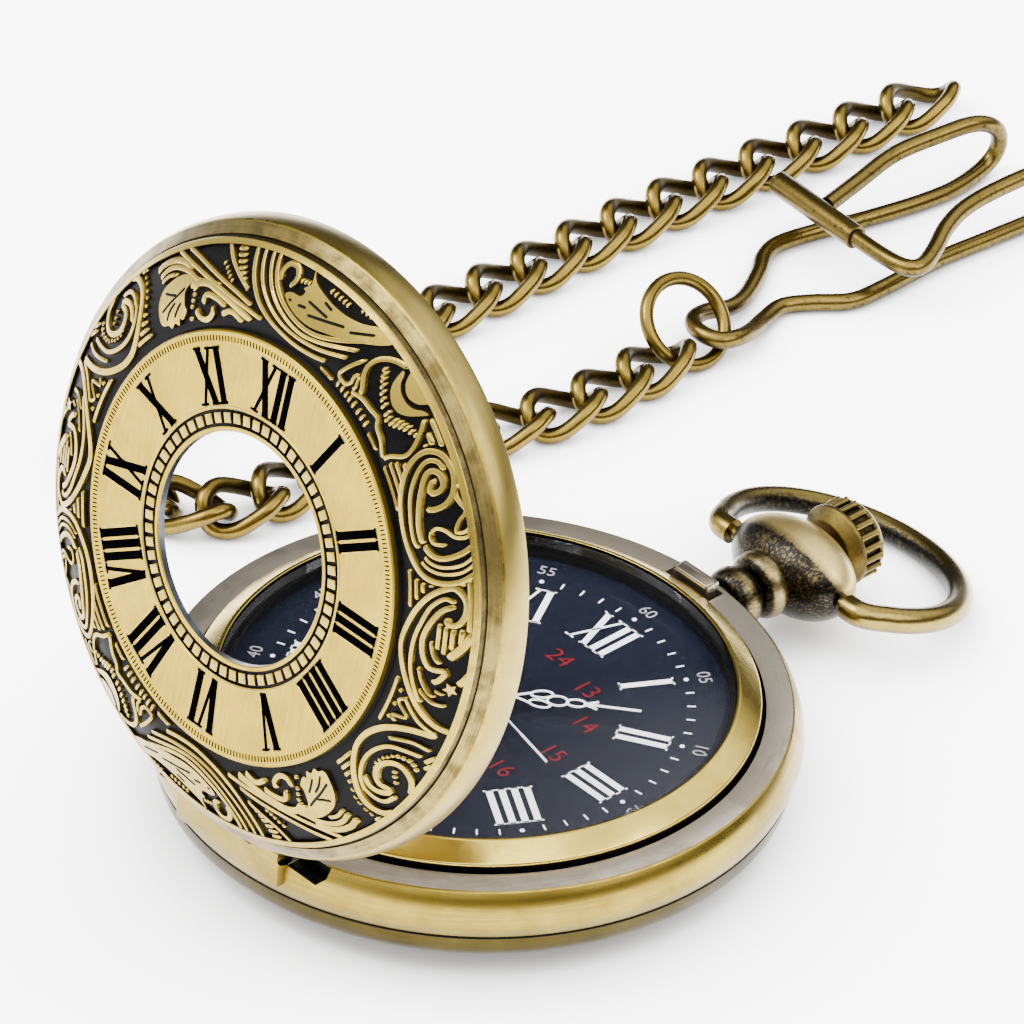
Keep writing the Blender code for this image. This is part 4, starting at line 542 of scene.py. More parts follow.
def build_case():
    lip, wall, dark, edge = range(4)
    side = COVER_KNUCKLE / 2 + KNUCKLE_GAP
    reach = side + CASE_KNUCKLE
    notch_wall = NOTCH_WIDTH - CASE_RADIUS
    outside = rounded([(LIP_OUTER, LIP_HEIGHT), *WALL_PROFILE, (SEAM_RADIUS, SEAM_HEIGHT)], 0.7)
    profile = [(SHELF_RADIUS, BEZEL_SEAT), (LIP_INNER, BEZEL_SEAT), (LIP_INNER, LIP_HEIGHT - 0.06),
               (LIP_INNER + 0.06, LIP_HEIGHT), (LIP_OUTER - 0.14, LIP_HEIGHT),
               (LIP_OUTER - 0.05, LIP_HEIGHT - 0.03), (LIP_OUTER + 0.03, LIP_HEIGHT - 0.12), *outside[1:],
               (SEAM_RADIUS - 0.15, SEAM_HEIGHT), (CASE_BORE, SEAM_HEIGHT), (CASE_BORE, SHELF_UNDERSIDE),
               (SHELF_RADIUS, SHELF_UNDERSIDE)]

    def look(radius, height):
        # The shelf and the lip's inner wall, in the gap round the bezel, take the black look: painted shade.
        if radius < LIP_INNER + 0.02 and height > SHELF_UNDERSIDE + 0.1:
            return dark
        if height > LIP_HEIGHT - 0.01:
            return lip
        # The lip's outer chamfer takes the bright gold look: a painted highlight line.
        return edge if height > LIP_HEIGHT - 0.2 and radius > LIP_OUTER - 0.15 else wall

    shape = Shape()
    lathe(shape, profile, 256, look, closed=True)
    body = shape.build("case_band", ["lip", "wall", "ground", "ornament"])
    cuts = [hinge_room(), catch_cut(*CATCH_SLOT, 0.08)]
    for sign in (-1, 1):
        notch = Shape()
        near, far = sorted((sign * reach, sign * (reach + NOTCH_LENGTH)))
        block(notch, (near, NOTCH_START, NOTCH_FLOOR), (far, notch_wall, LIP_HEIGHT + 0.5), 0.06)
        cuts.append(notch)
    carve(body, cuts + pendant_bores())
    settle(body, "case", ["case_body"])

    mount = Shape()
    front = HINGE_Y - KNUCKLE_RADIUS
    block(mount, (-reach, front, HINGE_BLOCK_BOTTOM), (reach, front + HINGE_BLOCK_DEPTH, LIP_HEIGHT), 0.1)
    hinge_block = mount.build("hinge_block", ["wall"])
    carve(hinge_block, [hinge_room()])
    settle(hinge_block, "case", [])

    knuckles = Shape()
    for sign in (-1, 1):
        tube(knuckles, [Vector((sign * x, HINGE_Y, HINGE_Z)) for x in (side, reach)], KNUCKLE_RADIUS, 32)
        near, far = sorted((sign * (reach + 0.02), sign * (reach + NOTCH_LENGTH - 0.05)))
        low = NOTCH_FLOOR - 0.05
        # Black plates on the floor and wall of the notch beside the knuckle: painted shade.
        block(knuckles, (near, NOTCH_SHADE_START, low), (far, notch_wall + 0.02, NOTCH_FLOOR + 0.03), 0.01, 1)
        block(knuckles, (near, notch_wall - 0.06, low), (far, notch_wall + 0.04, LIP_HEIGHT - 0.06), 0.01, 1)
    settle(knuckles.build("case_knuckles", ["wall", "ground"]), "case", [])

    # A black line round the seam between band and back: painted shade in the gap.
    seam = Shape()
    ring = [Vector((*polar(SEAM_RADIUS - 0.03, 360.0 * i / 192), SEAM_HEIGHT - 0.02)) for i in range(192)]
    tube(seam, ring, SEAM_WIDTH, 8, closed=True)
    settle(seam.build("case_seam", ["ground"]), "case", [])

    edge_height = SEAM_HEIGHT - 0.05
    spigot_top = edge_height + BACK_SPIGOT_RISE
    dome = [(SEAM_RADIUS, edge_height - 0.1), *BACK_PROFILE]
    dome = smooth_route([(radius, height, 0.0) for radius, height in dome], 4)
    profile = [(BACK_SPIGOT_BORE, spigot_top), (BACK_SPIGOT, spigot_top), (BACK_SPIGOT, edge_height),
               (SEAM_RADIUS - 0.12, edge_height)]
    profile += [(p.x, max(p.y, 0.0)) for p in dome]
    profile += [(0.0, 0.0), *BACK_INSIDE]
    shape = Shape()
    lathe(shape, profile, 192, closed=True)
    back = shape.build("back_shell", ["back"])
    carve(back, pendant_bores())
    settle(back, "case", ["case_back"])


def build_bezel_and_crystal():
    gold, dark = range(2)
    foot = BEZEL_SEAT + 0.05
    profile = rounded([(BEZEL_BORE, BEZEL_LEDGE_HEIGHT), (BEZEL_BORE, BEZEL_TOP),
                       (BEZEL_BORE + 0.25, BEZEL_TOP), (BEZEL_RADIUS, BEZEL_OUTER_HEIGHT),
                       (BEZEL_RADIUS, foot), (BEZEL_LEDGE, foot), (BEZEL_LEDGE, BEZEL_LEDGE_HEIGHT)],
                      {1: 0.06, 2: 0.12, 3: 0.16, 4: 0.03, 5: 0.03})

    def look(radius, height):
        # The bezel's bore and its outer wall below the top take the black look: painted shade in the gaps
        # beside the crystal and the lip.
        if radius < BEZEL_BORE + 0.01:
            return dark
        return dark if radius > BEZEL_RADIUS - 0.02 and height < BEZEL_OUTER_HEIGHT - 0.17 else gold

    shape = Shape()
    lathe(shape, profile, 256, look, closed=True)
    settle(shape.build("bezel_ring", ["bezel", "ground"]), "case", ["bezel"])

    rim = CRYSTAL_BOTTOM + CRYSTAL_EDGE
    inner = CRYSTAL_RADIUS - CRYSTAL_WALL
    count = 16

    def dome(reach, edge):
        radii = [reach * i / count for i in range(count + 1)]
        return [(radius, edge + CRYSTAL_DOME * (1 - (radius / CRYSTAL_RADIUS) ** 2)) for radius in radii]

    profile = dome(CRYSTAL_RADIUS, rim) + [(CRYSTAL_RADIUS, CRYSTAL_BOTTOM), (inner, CRYSTAL_BOTTOM)]
    profile += dome(inner, rim - CRYSTAL_WALL)[::-1]
    shape = Shape()
    lathe(shape, profile, 192)
    settle(shape.build("crystal_dome", ["glass"]), "case", ["crystal"])


def stroke_bar(top, bottom, width, height):
    """A stroke of a letter with level ends: its middle at the top and at the bottom, and its width."""
    half = width / 2
    return [(top - half, height / 2), (top + half, height / 2), (bottom + half, -height / 2),
            (bottom - half, -height / 2)]


HOURS = ("XII", "I", "II", "III", "IIII", "V", "VI", "VII", "VIII", "IX", "X", "XI")
LETTER_WIDTHS = {"I": 0.235, "V": 0.53, "X": 0.54}


def roman(text, height, thick, thin, serif, narrow):
    """Outlines of a Roman figure, centred, with feet at the bottom."""
    widths = {letter: height * share * narrow for letter, share in LETTER_WIDTHS.items()}
    at = -sum(widths[c] for c in text) / 2
    out = []
    for c in text:
        middle = at + widths[c] / 2
        spread_x = widths[c] / 2 - thick * 0.62
        if c == "I":
            out.append(stroke_bar(middle, middle, thick, height))
            feet = [(middle, 1), (middle, -1)]
        elif c == "V":
            out.append(stroke_bar(middle - spread_x, middle - thick * 0.05, thick, height))
            out.append(stroke_bar(middle + spread_x, middle + thick * 0.1, thin, height))
            feet = [(middle - spread_x, 1), (middle + spread_x, 1)]
        else:
            out.append(stroke_bar(middle - spread_x, middle + spread_x, thick, height))
            out.append(stroke_bar(middle + spread_x, middle - spread_x, thin, height))
            feet = [(middle + sx * spread_x, sy) for sx in (-1, 1) for sy in (-1, 1)]
        reach = widths["I"] / 2 * 0.92
        for x, end in feet:
            outer = end * height / 2
            inner = end * (height / 2 - serif)
            out.append([(x - reach, outer), (x + reach, outer), (x + reach, inner), (x - reach, inner)])
        at += widths[c]
    return out


def on_face(points, clock, radius, upright=False):
    """Points of a figure on a round face, its middle at a clock angle and radius, feet to the centre."""
    x, y = polar(radius, clock)
    turn = 0.0 if upright else math.radians(clock)
    return [(x + u * math.cos(turn) + v * math.sin(turn), y - u * math.sin(turn) + v * math.cos(turn))
            for u, v in points]


def add_flat(shape, outline, clock, radius, low, high, mat):
    """An outline on a round face as a thin plate without an underside."""
    placed = on_face(outline, clock, radius)
    count = len(placed)
    verts = [(px, py, high) for px, py in placed] + [(px, py, low) for px, py in placed]
    faces = [tuple(range(count))]
    faces += [(i, (i + 1) % count, count + (i + 1) % count, count + i) for i in range(count)]
    shape.add(verts, faces, mat)


def tick(width, length):
    """The outline of a small mark along the radius."""
    side, end = width / 2, length / 2
    return [(-side, end), (side, end), (side, -end), (-side, -end)]


def text_mesh(text, size):
    """The faces of a short text, centred."""
    curve = bpy.data.curves.new("figures", "FONT")
    curve.body = text
    curve.size = size
    curve.align_x = "CENTER"
    curve.align_y = "CENTER"
    holder = bpy.data.objects.new("figures", curve)
    bpy.context.scene.collection.objects.link(holder)
    bpy.context.view_layer.update()
    mesh = bpy.data.meshes.new_from_object(holder.evaluated_get(bpy.context.evaluated_depsgraph_get()))
    verts = [(v.co.x, v.co.y) for v in mesh.vertices]
    faces = [tuple(p.vertices) for p in mesh.polygons]
    bpy.data.objects.remove(holder, do_unlink=True)
    bpy.data.curves.remove(curve)
    bpy.data.meshes.remove(mesh)
    return verts, faces


def add_text(shape, text, size, clock, radius, height, mat, upright=False):
    verts, faces = text_mesh(text, size)
    shape.add([(x, y, height) for x, y in on_face(verts, clock, radius, upright)], faces, mat)


# Figures: height, thick and thin strokes, feet and narrowing for Roman ones, size for the others, then radius
DIAL_HOURS, DIAL_HOURS_RADIUS = (4.05, 0.5, 0.2, 0.13, 0.95), 12.4
DAY_FIGURES, DAY_RADIUS, MINUTE_FIGURES, MINUTE_RADIUS = 2.05, 8.0, 1.4, 16.6
TRACK_RADIUS, TRACK_TICK, TRACK_DOT = 15.3, (0.12, 0.6), 0.18
COVER_HOURS, COVER_HOURS_EDGE = (4.05, 0.62, 0.3, 0.2, 0.88), (4.2, 0.76, 0.44, 0.32, 0.9)
COVER_HOURS_RADIUS, COVER_TICKS, COVER_TICK, COVER_TRACK_RADIUS = 12.05, 300, (0.1, 0.4), 14.68
SQUARES, SQUARE_HALF = 60, (0.34, 0.38)


def build_dial():
    white, red, grey = range(1, 4)
    shape = Shape()
    under = DIAL_HEIGHT - 0.4
    lathe(shape, rounded([(DIAL_HOLE, under), (DIAL_HOLE, DIAL_HEIGHT), (DIAL_EDGE, DIAL_HEIGHT),
                          (DIAL_EDGE, under)], 0.03), 160, closed=True)
    top = DIAL_HEIGHT + 0.03
    for number, text in enumerate(HOURS):
        clock = 30.0 * number
        for outline in roman(text, *DIAL_HOURS):
            add_flat(shape, outline, clock, DIAL_HOURS_RADIUS, DIAL_HEIGHT, top, white)
        hour = str(number + 12 if number else 24)
        add_text(shape, hour, DAY_FIGURES, clock, DAY_RADIUS, top, red, upright=True)
        minutes = 5 * number if number else 60
        add_text(shape, f"{minutes:02d}", MINUTE_FIGURES, clock, MINUTE_RADIUS, top, grey)
    turns = [math.tau * i / 14 for i in range(14)]
    dot = [(TRACK_DOT * math.cos(turn), TRACK_DOT * math.sin(turn)) for turn in turns]
    for number in range(60):
        mark = tick(*TRACK_TICK) if number % 5 else dot
        add_flat(shape, mark, 6.0 * number, TRACK_RADIUS, DIAL_HEIGHT, top, white)
    settle(shape.build("dial_face", ["dial", "white", "red", "grey"]), "case", ["dial"])


def hand_wire(shape, line, width, bottom, place, closed=False):
    """A flat rounded wire of a hand, drawn upright and turned to its place."""
    start = len(shape.verts)
    tube(shape, line, width / 2, 10, closed)
    middle = bottom + HAND_THICKNESS / 2
    for vert in shape.verts[start:]:
        vert.z = middle + vert.z / width * HAND_THICKNESS
        vert.xyz = place @ vert


def strand(shape, points, width, bottom, place):
    """A wire of a hand along (side, along) points."""
    hand_wire(shape, smooth_route([(x, y, 0.0) for x, y in points], 5), width, bottom, place)


def oval(shape, centre, half, lean, width, bottom, place):
    """A closed loop of a hand: half is its reach across and along, lean its tilt in degrees."""
    tilt = Matrix.Rotation(math.radians(lean), 3, "Z")
    ring = [Vector((*centre, 0.0)) + tilt @ Vector((half[0] * math.sin(t), half[1] * math.cos(t), 0.0))
            for t in (math.tau * i / 28 for i in range(28))]
    hand_wire(shape, ring, width, bottom, place, closed=True)


def hub_ring(shape, inner, outer, bottom):
    top = bottom + HAND_THICKNESS
    edge = [(inner, bottom), (outer, bottom), (outer, top), (inner, top)]
    lathe(shape, rounded(edge, 0.04), 40, closed=True)


def open_work_hand(name, body, node, size):
    """Neck, a pair of loops side by side, two loops in line, a fan and a long thin pointer.

    It is drawn at the minute hand's length, and a shorter hand is shortened along itself.
    """
    clock, bottom, pipe, length = size
    place = Matrix.Rotation(-math.radians(clock), 3, "Z")
    unit = length / MINUTE_HAND[3]
    wire = 0.2
    shape = Shape()
    hub_ring(shape, pipe + 0.03, pipe + 0.4, bottom)
    strand(shape, [(0.0, pipe + 0.3), (0.0, 2.6 * unit)], 0.3, bottom, place)
    for side in (-1, 1):
        lead = [(0.0, 2.5), (0.3, 3.2), (0.62, 3.9)]
        strand(shape, [(side * x, y * unit) for x, y in lead], wire, bottom, place)
        oval(shape, (side * 0.56, 4.6 * unit), (0.4, 0.78 * unit), -side * 10.0, wire, bottom, place)
        fan = [(0.04, 7.7), (0.2, 8.2), (0.44, 8.68)]
        strand(shape, [(side * x, y * unit) for x, y in fan], 0.24, bottom, place)
    oval(shape, (0.0, 5.8 * unit), (0.56, 0.74 * unit), 0.0, wire, bottom, place)
    oval(shape, (0.0, 7.15 * unit), (0.42, 0.68 * unit), 0.0, wire, bottom, place)
    strand(shape, [(0.0, 7.75 * unit), (0.0, length)], 0.24, bottom, place)
    settle(shape.build(name, ["hands"]), body, [node])


def build_hands():
    open_work_hand("hour_pointer", "hour", "hour_hand", HOUR_HAND)
    open_work_hand("minute_pointer", "minute", "minute_hand", MINUTE_HAND)
    clock, bottom, arbor, length = SECONDS_HAND
    place = Matrix.Rotation(-math.radians(clock), 3, "Z")
    shape = Shape()
    hub_ring(shape, arbor + 0.03, 0.65, bottom)
    strand(shape, [(0.0, 0.5), (0.0, length * 0.66)], 0.14, bottom, place)
    strand(shape, [(0.0, length * 0.64), (0.0, length)], 0.2, bottom, place)
    strand(shape, [(0.0, -0.5), (0.0, -SECONDS_TAIL)], 0.3, bottom, place)
    settle(shape.build("seconds_pointer", ["hands"]), "seconds", ["seconds_hand"])


def dome_height(radius):
    """The ornamented ring's own surface on the shut cover, above the hinge axis."""
    share = (DOME_OUTER - radius) / (DOME_OUTER - DOME_INNER)
    share = max(-0.1, min(1.0, share))
    return DOME_OUTER_HEIGHT + (DOME_INNER_HEIGHT - DOME_OUTER_HEIGHT) * math.sin(share * math.pi / 2)


def cover_matrix():
    """The open place of a piece drawn shut with its heights above the hinge axis."""
    opened = Matrix.Rotation(math.radians(COVER_OPEN), 4, "X")
    return (Matrix.Translation((0.0, HINGE_Y * MM, HINGE_Z * MM)) @ opened
            @ Matrix.Translation((0.0, -HINGE_Y * MM, 0.0)))


GROUND_EDGE, GROUND_STEPS = 15.42, 12
GROOVE_INNER, GROOVE_OUTER, FLANGE_OUTER = 21.3, 21.55, 22.29
COVER_SKIRT, RIM_START = 21.5, 22.35
# From the flange's edge down the outside, under the skirt and up to the dome's inside
RIM_PROFILE = ((22.52, 1.85), (22.6, 1.5), (22.65, 1.05), (22.63, 0.4), (22.58, 0.1), (22.48, 0.0),
               (21.56, 0.0), (COVER_SKIRT, 0.06), (21.2, 1.65), (20.1, 2.55))


def cover_profile():
    """The cover's section from the window outwards over the top and back along the inside."""
    ground = []
    for i in range(GROUND_STEPS + 1):
        radius = BORDER_INNER + (GROUND_EDGE - BORDER_INNER) * i / GROUND_STEPS
        ground.append((radius, dome_height(radius) - GROUND_DEPTH))
    floor, border = DISC_HEIGHT - SQUARES_DEPTH, dome_height(BORDER_INNER)
    disc = [(WINDOW_RADIUS, DISC_HEIGHT - 0.6), (WINDOW_RADIUS, DISC_HEIGHT - 0.08),
            (WINDOW_RADIUS + 0.08, DISC_HEIGHT), (SQUARES_INNER - 0.04, DISC_HEIGHT),
            (SQUARES_INNER, DISC_HEIGHT - 0.04), (SQUARES_INNER, floor), (SQUARES_OUTER, floor),
            (SQUARES_OUTER, DISC_HEIGHT - 0.04), (SQUARES_OUTER + 0.04, DISC_HEIGHT),
            (DISC_RADIUS - 0.1, DISC_HEIGHT), (DISC_RADIUS, DISC_HEIGHT - 0.1),
            (DISC_RADIUS + 0.02, floor - 0.25)]
    edge = [(BORDER_INNER + 0.01, border - 0.03), (BORDER_INNER + 0.06, border + 0.03), (21.2, 3.46),
            (21.28, 3.42), (21.32, 3.34), (21.36, GROOVE_HEIGHT + 0.05), (21.4, GROOVE_HEIGHT),
            (21.44, GROOVE_HEIGHT + 0.02), (21.46, GROOVE_HEIGHT + 0.2), (21.51, GROOVE_HEIGHT + 0.24),
            (22.28, FLANGE_EDGE + 0.12), (22.36, FLANGE_EDGE + 0.04), (22.42, FLANGE_EDGE - 0.08)]
    return disc + ground[::-1] + edge + [*RIM_PROFILE, (DOME_INNER, DOME_INNER_HEIGHT - 1.0)]


COVER_LOOKS = ["disc", "ground", "band", "window", "ornament", "rim", "groove"]


def cover_look(radius, height):
    """The number of the look on the cover's section at a place."""
    inside = DISC_HEIGHT - 0.4 if radius < DISC_RADIUS else dome_height(radius) - 0.8
    if radius > COVER_SKIRT:
        inside = min(inside, 1.0)
    if radius < WINDOW_RADIUS + 0.02:
        name = "window"
    elif height < inside:
        name = "rim"
    elif SQUARES_INNER - 0.01 < radius < SQUARES_OUTER + 0.01 and height < DISC_HEIGHT - 0.05:
        name = "ground"
    elif radius < DISC_RADIUS + 0.015:
        name = "disc"
    elif radius < BORDER_INNER + 0.02 and height > max(2.6, dome_height(radius) - GROUND_DEPTH - 0.3):
        name = "ground"
    elif BORDER_INNER < radius < 21.33 and height > 3.3:
        name = "ornament"
    elif radius > FLANGE_OUTER and height > FLANGE_EDGE - 0.05:
        name = "ornament"
    elif GROOVE_INNER < radius < GROOVE_OUTER and height > GROOVE_HEIGHT - 0.05:
        name = "groove"
    else:
        name = "rim" if radius > RIM_START else "band"
    return COVER_LOOKS.index(name)


def build_cover():
    ink, pale = range(2)
    shape = Shape()
    lathe(shape, cover_profile(), 256, cover_look, closed=True)
    cover = shape.build("cover_shell", COVER_LOOKS, matrix=cover_matrix())
    carve(cover, [catch_cut(*CATCH_PASSAGE, 0.04), catch_cut(*CATCH_POCKET, 0.04)])
    settle(cover, "cover", ["front_cover"])

    knuckle = Shape()
    half = COVER_KNUCKLE / 2
    ends = [(0.6, -half), (KNUCKLE_RADIUS, -half), (KNUCKLE_RADIUS, half), (0.6, half)]
    along = Matrix.Translation((0.0, HINGE_Y, 0.0)) @ Matrix.Rotation(math.pi / 2, 4, "Y")
    lathe(knuckle, rounded(ends, 0.08), 40, frame_matrix=along, closed=True)
    settle(knuckle.build("cover_knuckle", ["band"], matrix=cover_matrix()), "cover", [])

    marks = Shape()
    top = DISC_HEIGHT + 0.02
    for number, text in enumerate(HOURS):
        for size, high, mat in ((COVER_HOURS, top, ink), (COVER_HOURS_EDGE, DISC_HEIGHT + 0.01, pale)):
            for outline in roman(text, *size):
                add_flat(marks, outline, 30.0 * number, COVER_HOURS_RADIUS, DISC_HEIGHT, high, mat)
    for number in range(COVER_TICKS):
        add_flat(marks, tick(*COVER_TICK), 1.2 * number, COVER_TRACK_RADIUS, DISC_HEIGHT, top, ink)
    edge = [(SQUARES_OUTER + out, DISC_HEIGHT + rise)
            for out, rise in ((0.08, 0.0), (0.11, 0.03), (0.2, 0.03), (0.23, 0.0))]
    lathe(marks, edge, 192, pale, closed=True)
    figures = marks.build("cover_figures", ["ink", "ornament"], matrix=cover_matrix())
    settle(figures, "cover", [])

    squares = Shape()
    low, high = DISC_HEIGHT - SQUARES_DEPTH, DISC_HEIGHT - 0.01
    across, along = SQUARE_HALF
    for number in range(SQUARES):
        clock = 360.0 / SQUARES * number
        x, y = polar((SQUARES_INNER + SQUARES_OUTER) / 2, clock)
        turn = Matrix.Translation((x, y, 0.0)) @ Matrix.Rotation(-math.radians(clock), 4, "Z")
        block(squares, (-across, -along, low), (across, along, high), 0.06, frame_matrix=turn)
    settle(squares.build("cover_squares", ["ornament"], matrix=cover_matrix()), "cover", [])


# The cover's ornament, drawn in (clock degrees, radius). The other half is this one turned by 180.
# Ribs are (width, route). Dashes are (first clock, last clock, radius), bars (clock, outer and inner radius).
RIBS = (
    (0.54, ((-46.3, 20.1), (-43.5, 20.4), (-40, 20.35), (-37, 20.0), (-34.5, 19.5))),
    (0.45, ((-45.3, 19.55), (-42.5, 19.9), (-39.5, 19.85), (-36, 19.4), (-33, 18.75), (-31.3, 18.5))),
    (0.33, ((-44.8, 19.2), (-42, 19.45), (-39.3, 19.35))),
    (0.64, ((-35.3, 18.3), (-32.5, 18.45), (-29, 18.35), (-26, 17.9), (-22, 17.3), (-18.5, 16.75),
        (-14, 16.2))),
    (0.38, ((-39.5, 21), (-36, 20.1), (-31.5, 19.15), (-27, 18.35), (-22, 17.6), (-16, 16.95),
        (-10.5, 16.5))),
    (0.35, ((-36.5, 21), (-32.5, 20.1), (-28.5, 19.25), (-24.5, 18.55), (-19.5, 17.85), (-14.5, 17.2))),
    (0.57, ((-25, 18.1), (-30.7, 18.5), (-34.3, 18.0))),
    (0.5, ((-33.2, 16.8), (-32.1, 16.1), (-29.3, 15.9), (-27.1, 16.4), (-27.9, 16.8))),
    (0.5, ((-30.7, 16.9), (-29.3, 17.6), (-25.7, 17.3), (-22.9, 16.8))),
    (0.5, ((-24.6, 16.2), (-20.7, 16.5), (-16.8, 15.9))),
    (0.33, ((-24.8, 21), (-22.8, 19.9), (-19.5, 18.9), (-16.5, 18.2))),
    (0.38, ((-17.2, 21.05), (-16.5, 19.8), (-15, 18.7), (-12.2, 17.6), (-8, 16.75), (-3, 16.25), (2, 16.05),
        (7.2, 16.2), (12.2, 16.65))),
    (0.33, ((-15, 21.05), (-14.3, 19.9), (-12.5, 18.75), (-9.3, 17.75), (-5, 17), (0, 16.65), (5, 16.7),
        (10, 17.05), (16.5, 18))),
    (0.33, ((-12.8, 21.05), (-12.1, 20), (-10.3, 18.95), (-7.2, 18), (-2.8, 17.3), (2.2, 17), (7.2, 17.25),
        (12.2, 17.9), (17.5, 18.9))),
    (0.38, ((-11, 21.05), (-10.5, 20.15), (-8.9, 19.15), (-5.7, 18.25), (-1.4, 17.65), (2.9, 17.45),
        (7.2, 17.65), (12.2, 18.4), (18.2, 19.9))),
    (0.5, ((-8.3, 19.3), (-8.9, 19.9), (-7.8, 20.55), (-5.8, 20.6), (-4.6, 20.1), (-4.9, 19.5), (-6, 19.4))),
    (0.45, ((27.5, 20.87), (24.6, 20.4), (22.5, 19.75), (21.6, 18.95), (22.3, 18.25), (24.3, 17.6),
        (25, 17.05))),
    (0.38, ((22.5, 16.65), (25.7, 17.1), (29.3, 17.25), (32.1, 17.4), (33.6, 17), (36.8, 16.8),
        (40.7, 16.25))),
    (0.38, ((40.7, 16.25), (41.1, 17.05), (42.5, 18), (41.8, 18.8), (39.6, 19.65), (37.5, 20.25))),
    (0.35, ((20.3, 18.9), (18.9, 18.1), (17.8, 17.3), (17.6, 16.75), (20.2, 16.7), (21.3, 17.2),
        (20.9, 17.7), (21.8, 17.9))),
    (0.31, ((21.8, 17.9), (23, 17.2), (22.5, 16.8))),
    (0.48, ((68.2, 21.1), (70, 20), (70.4, 18.7), (68.9, 17.5), (65, 16.7), (60, 16.3), (55, 16.35),
        (50, 16.8), (45.7, 17.75), (43.7, 18.8), (43.6, 19.7), (45.4, 20.45), (48.9, 20.75), (52.5, 20.45),
        (54.6, 19.75), (55.1, 18.8), (54.3, 18.4))),
    (0.38, ((62.9, 17.35), (60.7, 17.05), (56.4, 17.1), (51.4, 17.5), (47.5, 18.3), (45.4, 19.25),
        (46.1, 20), (48.2, 20.25))),
    (0.48, ((49.6, 19.55), (49.6, 19.3), (50.7, 19), (51.8, 19.05), (51.8, 19.55), (50.7, 19.95),
        (48.6, 19.9), (47.5, 19.5), (47.9, 19), (50.7, 18.4), (54.3, 17.9), (58.6, 17.6), (62.1, 17.7))),
    (0.31, ((52.3, 21.1), (51.6, 20.7), (53.2, 20.5), (55, 20.7), (56.6, 20.95), (58.2, 20.4), (60.2, 20.1),
        (60.4, 20.6), (59.6, 21.1))),
    (0.31, ((60.4, 21.1), (61.4, 20.7), (61.2, 20), (59.6, 19.4), (59, 18.8), (60, 18.4), (62, 18.5),
        (62.6, 19.3))),
    (0.48, ((63, 21.1), (64.5, 20.2), (65.3, 19.1), (64.5, 18.3), (62.1, 17.75))),
    (0.28, ((65, 21.1), (66.8, 20.1), (67.1, 18.9), (66.1, 18.1), (64.6, 17.7))),
    (0.28, ((66.4, 21.1), (68.2, 20.1), (68.5, 18.9), (67.5, 18), (65.7, 17.4))),
    (0.51, ((101, 21.1), (101.3, 20), (100, 18.8), (97.1, 17.7), (92.9, 16.7), (89.3, 16.15), (85.7, 15.95),
        (81.4, 16.3), (77.1, 16.95), (73.6, 17.9), (71.8, 18.9), (71.4, 19.75), (73.6, 20.4), (76.4, 20.4),
        (78.6, 19.95), (78.9, 19.35), (77.5, 19.1))),
    (0.38, ((74.3, 19.7), (73.6, 19.05), (75.7, 18.1), (79.3, 17.5), (84.3, 17), (90, 17.05), (94.3, 17.6),
        (98.2, 18.5))),
    (0.48, ((75, 19.65), (76.4, 18.8), (80, 18), (83.6, 17.65), (87.1, 17.85), (89.3, 18.4), (89.3, 19.05),
        (88.9, 19.65), (91.4, 19.25), (92.5, 18.75))),
    (0.31, ((83.2, 18.25), (86.4, 18.6), (87.9, 19.1))),
    (0.69, ((79.5, 21.0), (82.9, 20.4), (86.4, 19.5))),
    (0.57, ((87.5, 21.1), (89.6, 20.8), (91.2, 20.4))),
    (0.28, ((94, 19.8), (93.9, 19.1))),
    (0.33, ((96.2, 20.1), (96.7, 19.2), (95, 18.1))),
    (0.3, ((90, 17.7), (92.9, 18.15), (95, 18.8), (95.3, 19.3))),
    (0.57, ((103.5, 20.3), (104.5, 19.2), (106, 18.2), (108.6, 17.2), (112.1, 16.5), (116, 16.15),
        (120, 16.25), (123.6, 16.9), (126.4, 17.8), (128.2, 18.8), (128.5, 19.8), (127, 20.7),
        (124.5, 21.1))),
    (0.35, ((103.2, 20.2), (102.5, 19), (100.5, 18), (98.6, 17.4))),
    (0.31, ((99, 17.5), (100.7, 17.1), (103, 18.1), (104.8, 17.05), (106, 17.5))),
    (0.33, ((107.1, 20.4), (107.5, 19.3), (108.9, 18.4), (110.7, 17.6))),
    (0.38, ((109.4, 20.1), (110.4, 19.1), (112.1, 18.1), (115, 17.5), (118.6, 17.25), (122.1, 17.45),
        (125, 18.1), (126.5, 19))),
    (0.51, ((119, 21), (116, 20.5), (114.5, 19.6), (115.3, 18.8), (118.2, 18.3), (121, 18.55), (122, 19.2),
        (121.2, 19.7), (121.9, 19.95), (123.8, 19.4), (124.3, 18.7), (123.2, 18))),
    (0.38, ((121.4, 20.4), (124.3, 20.2), (125.7, 19.6), (126.1, 18.7))),
    (0.38, ((107.5, 20.9), (110.4, 20.4))),
    (0.38, ((109.3, 21.0), (111.8, 20.6))),
    (0.3, ((116.4, 19.2), (117.3, 19.35))),
    (0.3, ((117.4, 19.4), (118.3, 19.55))),
    (0.3, ((118.4, 19.7), (119.3, 19.85))),
)
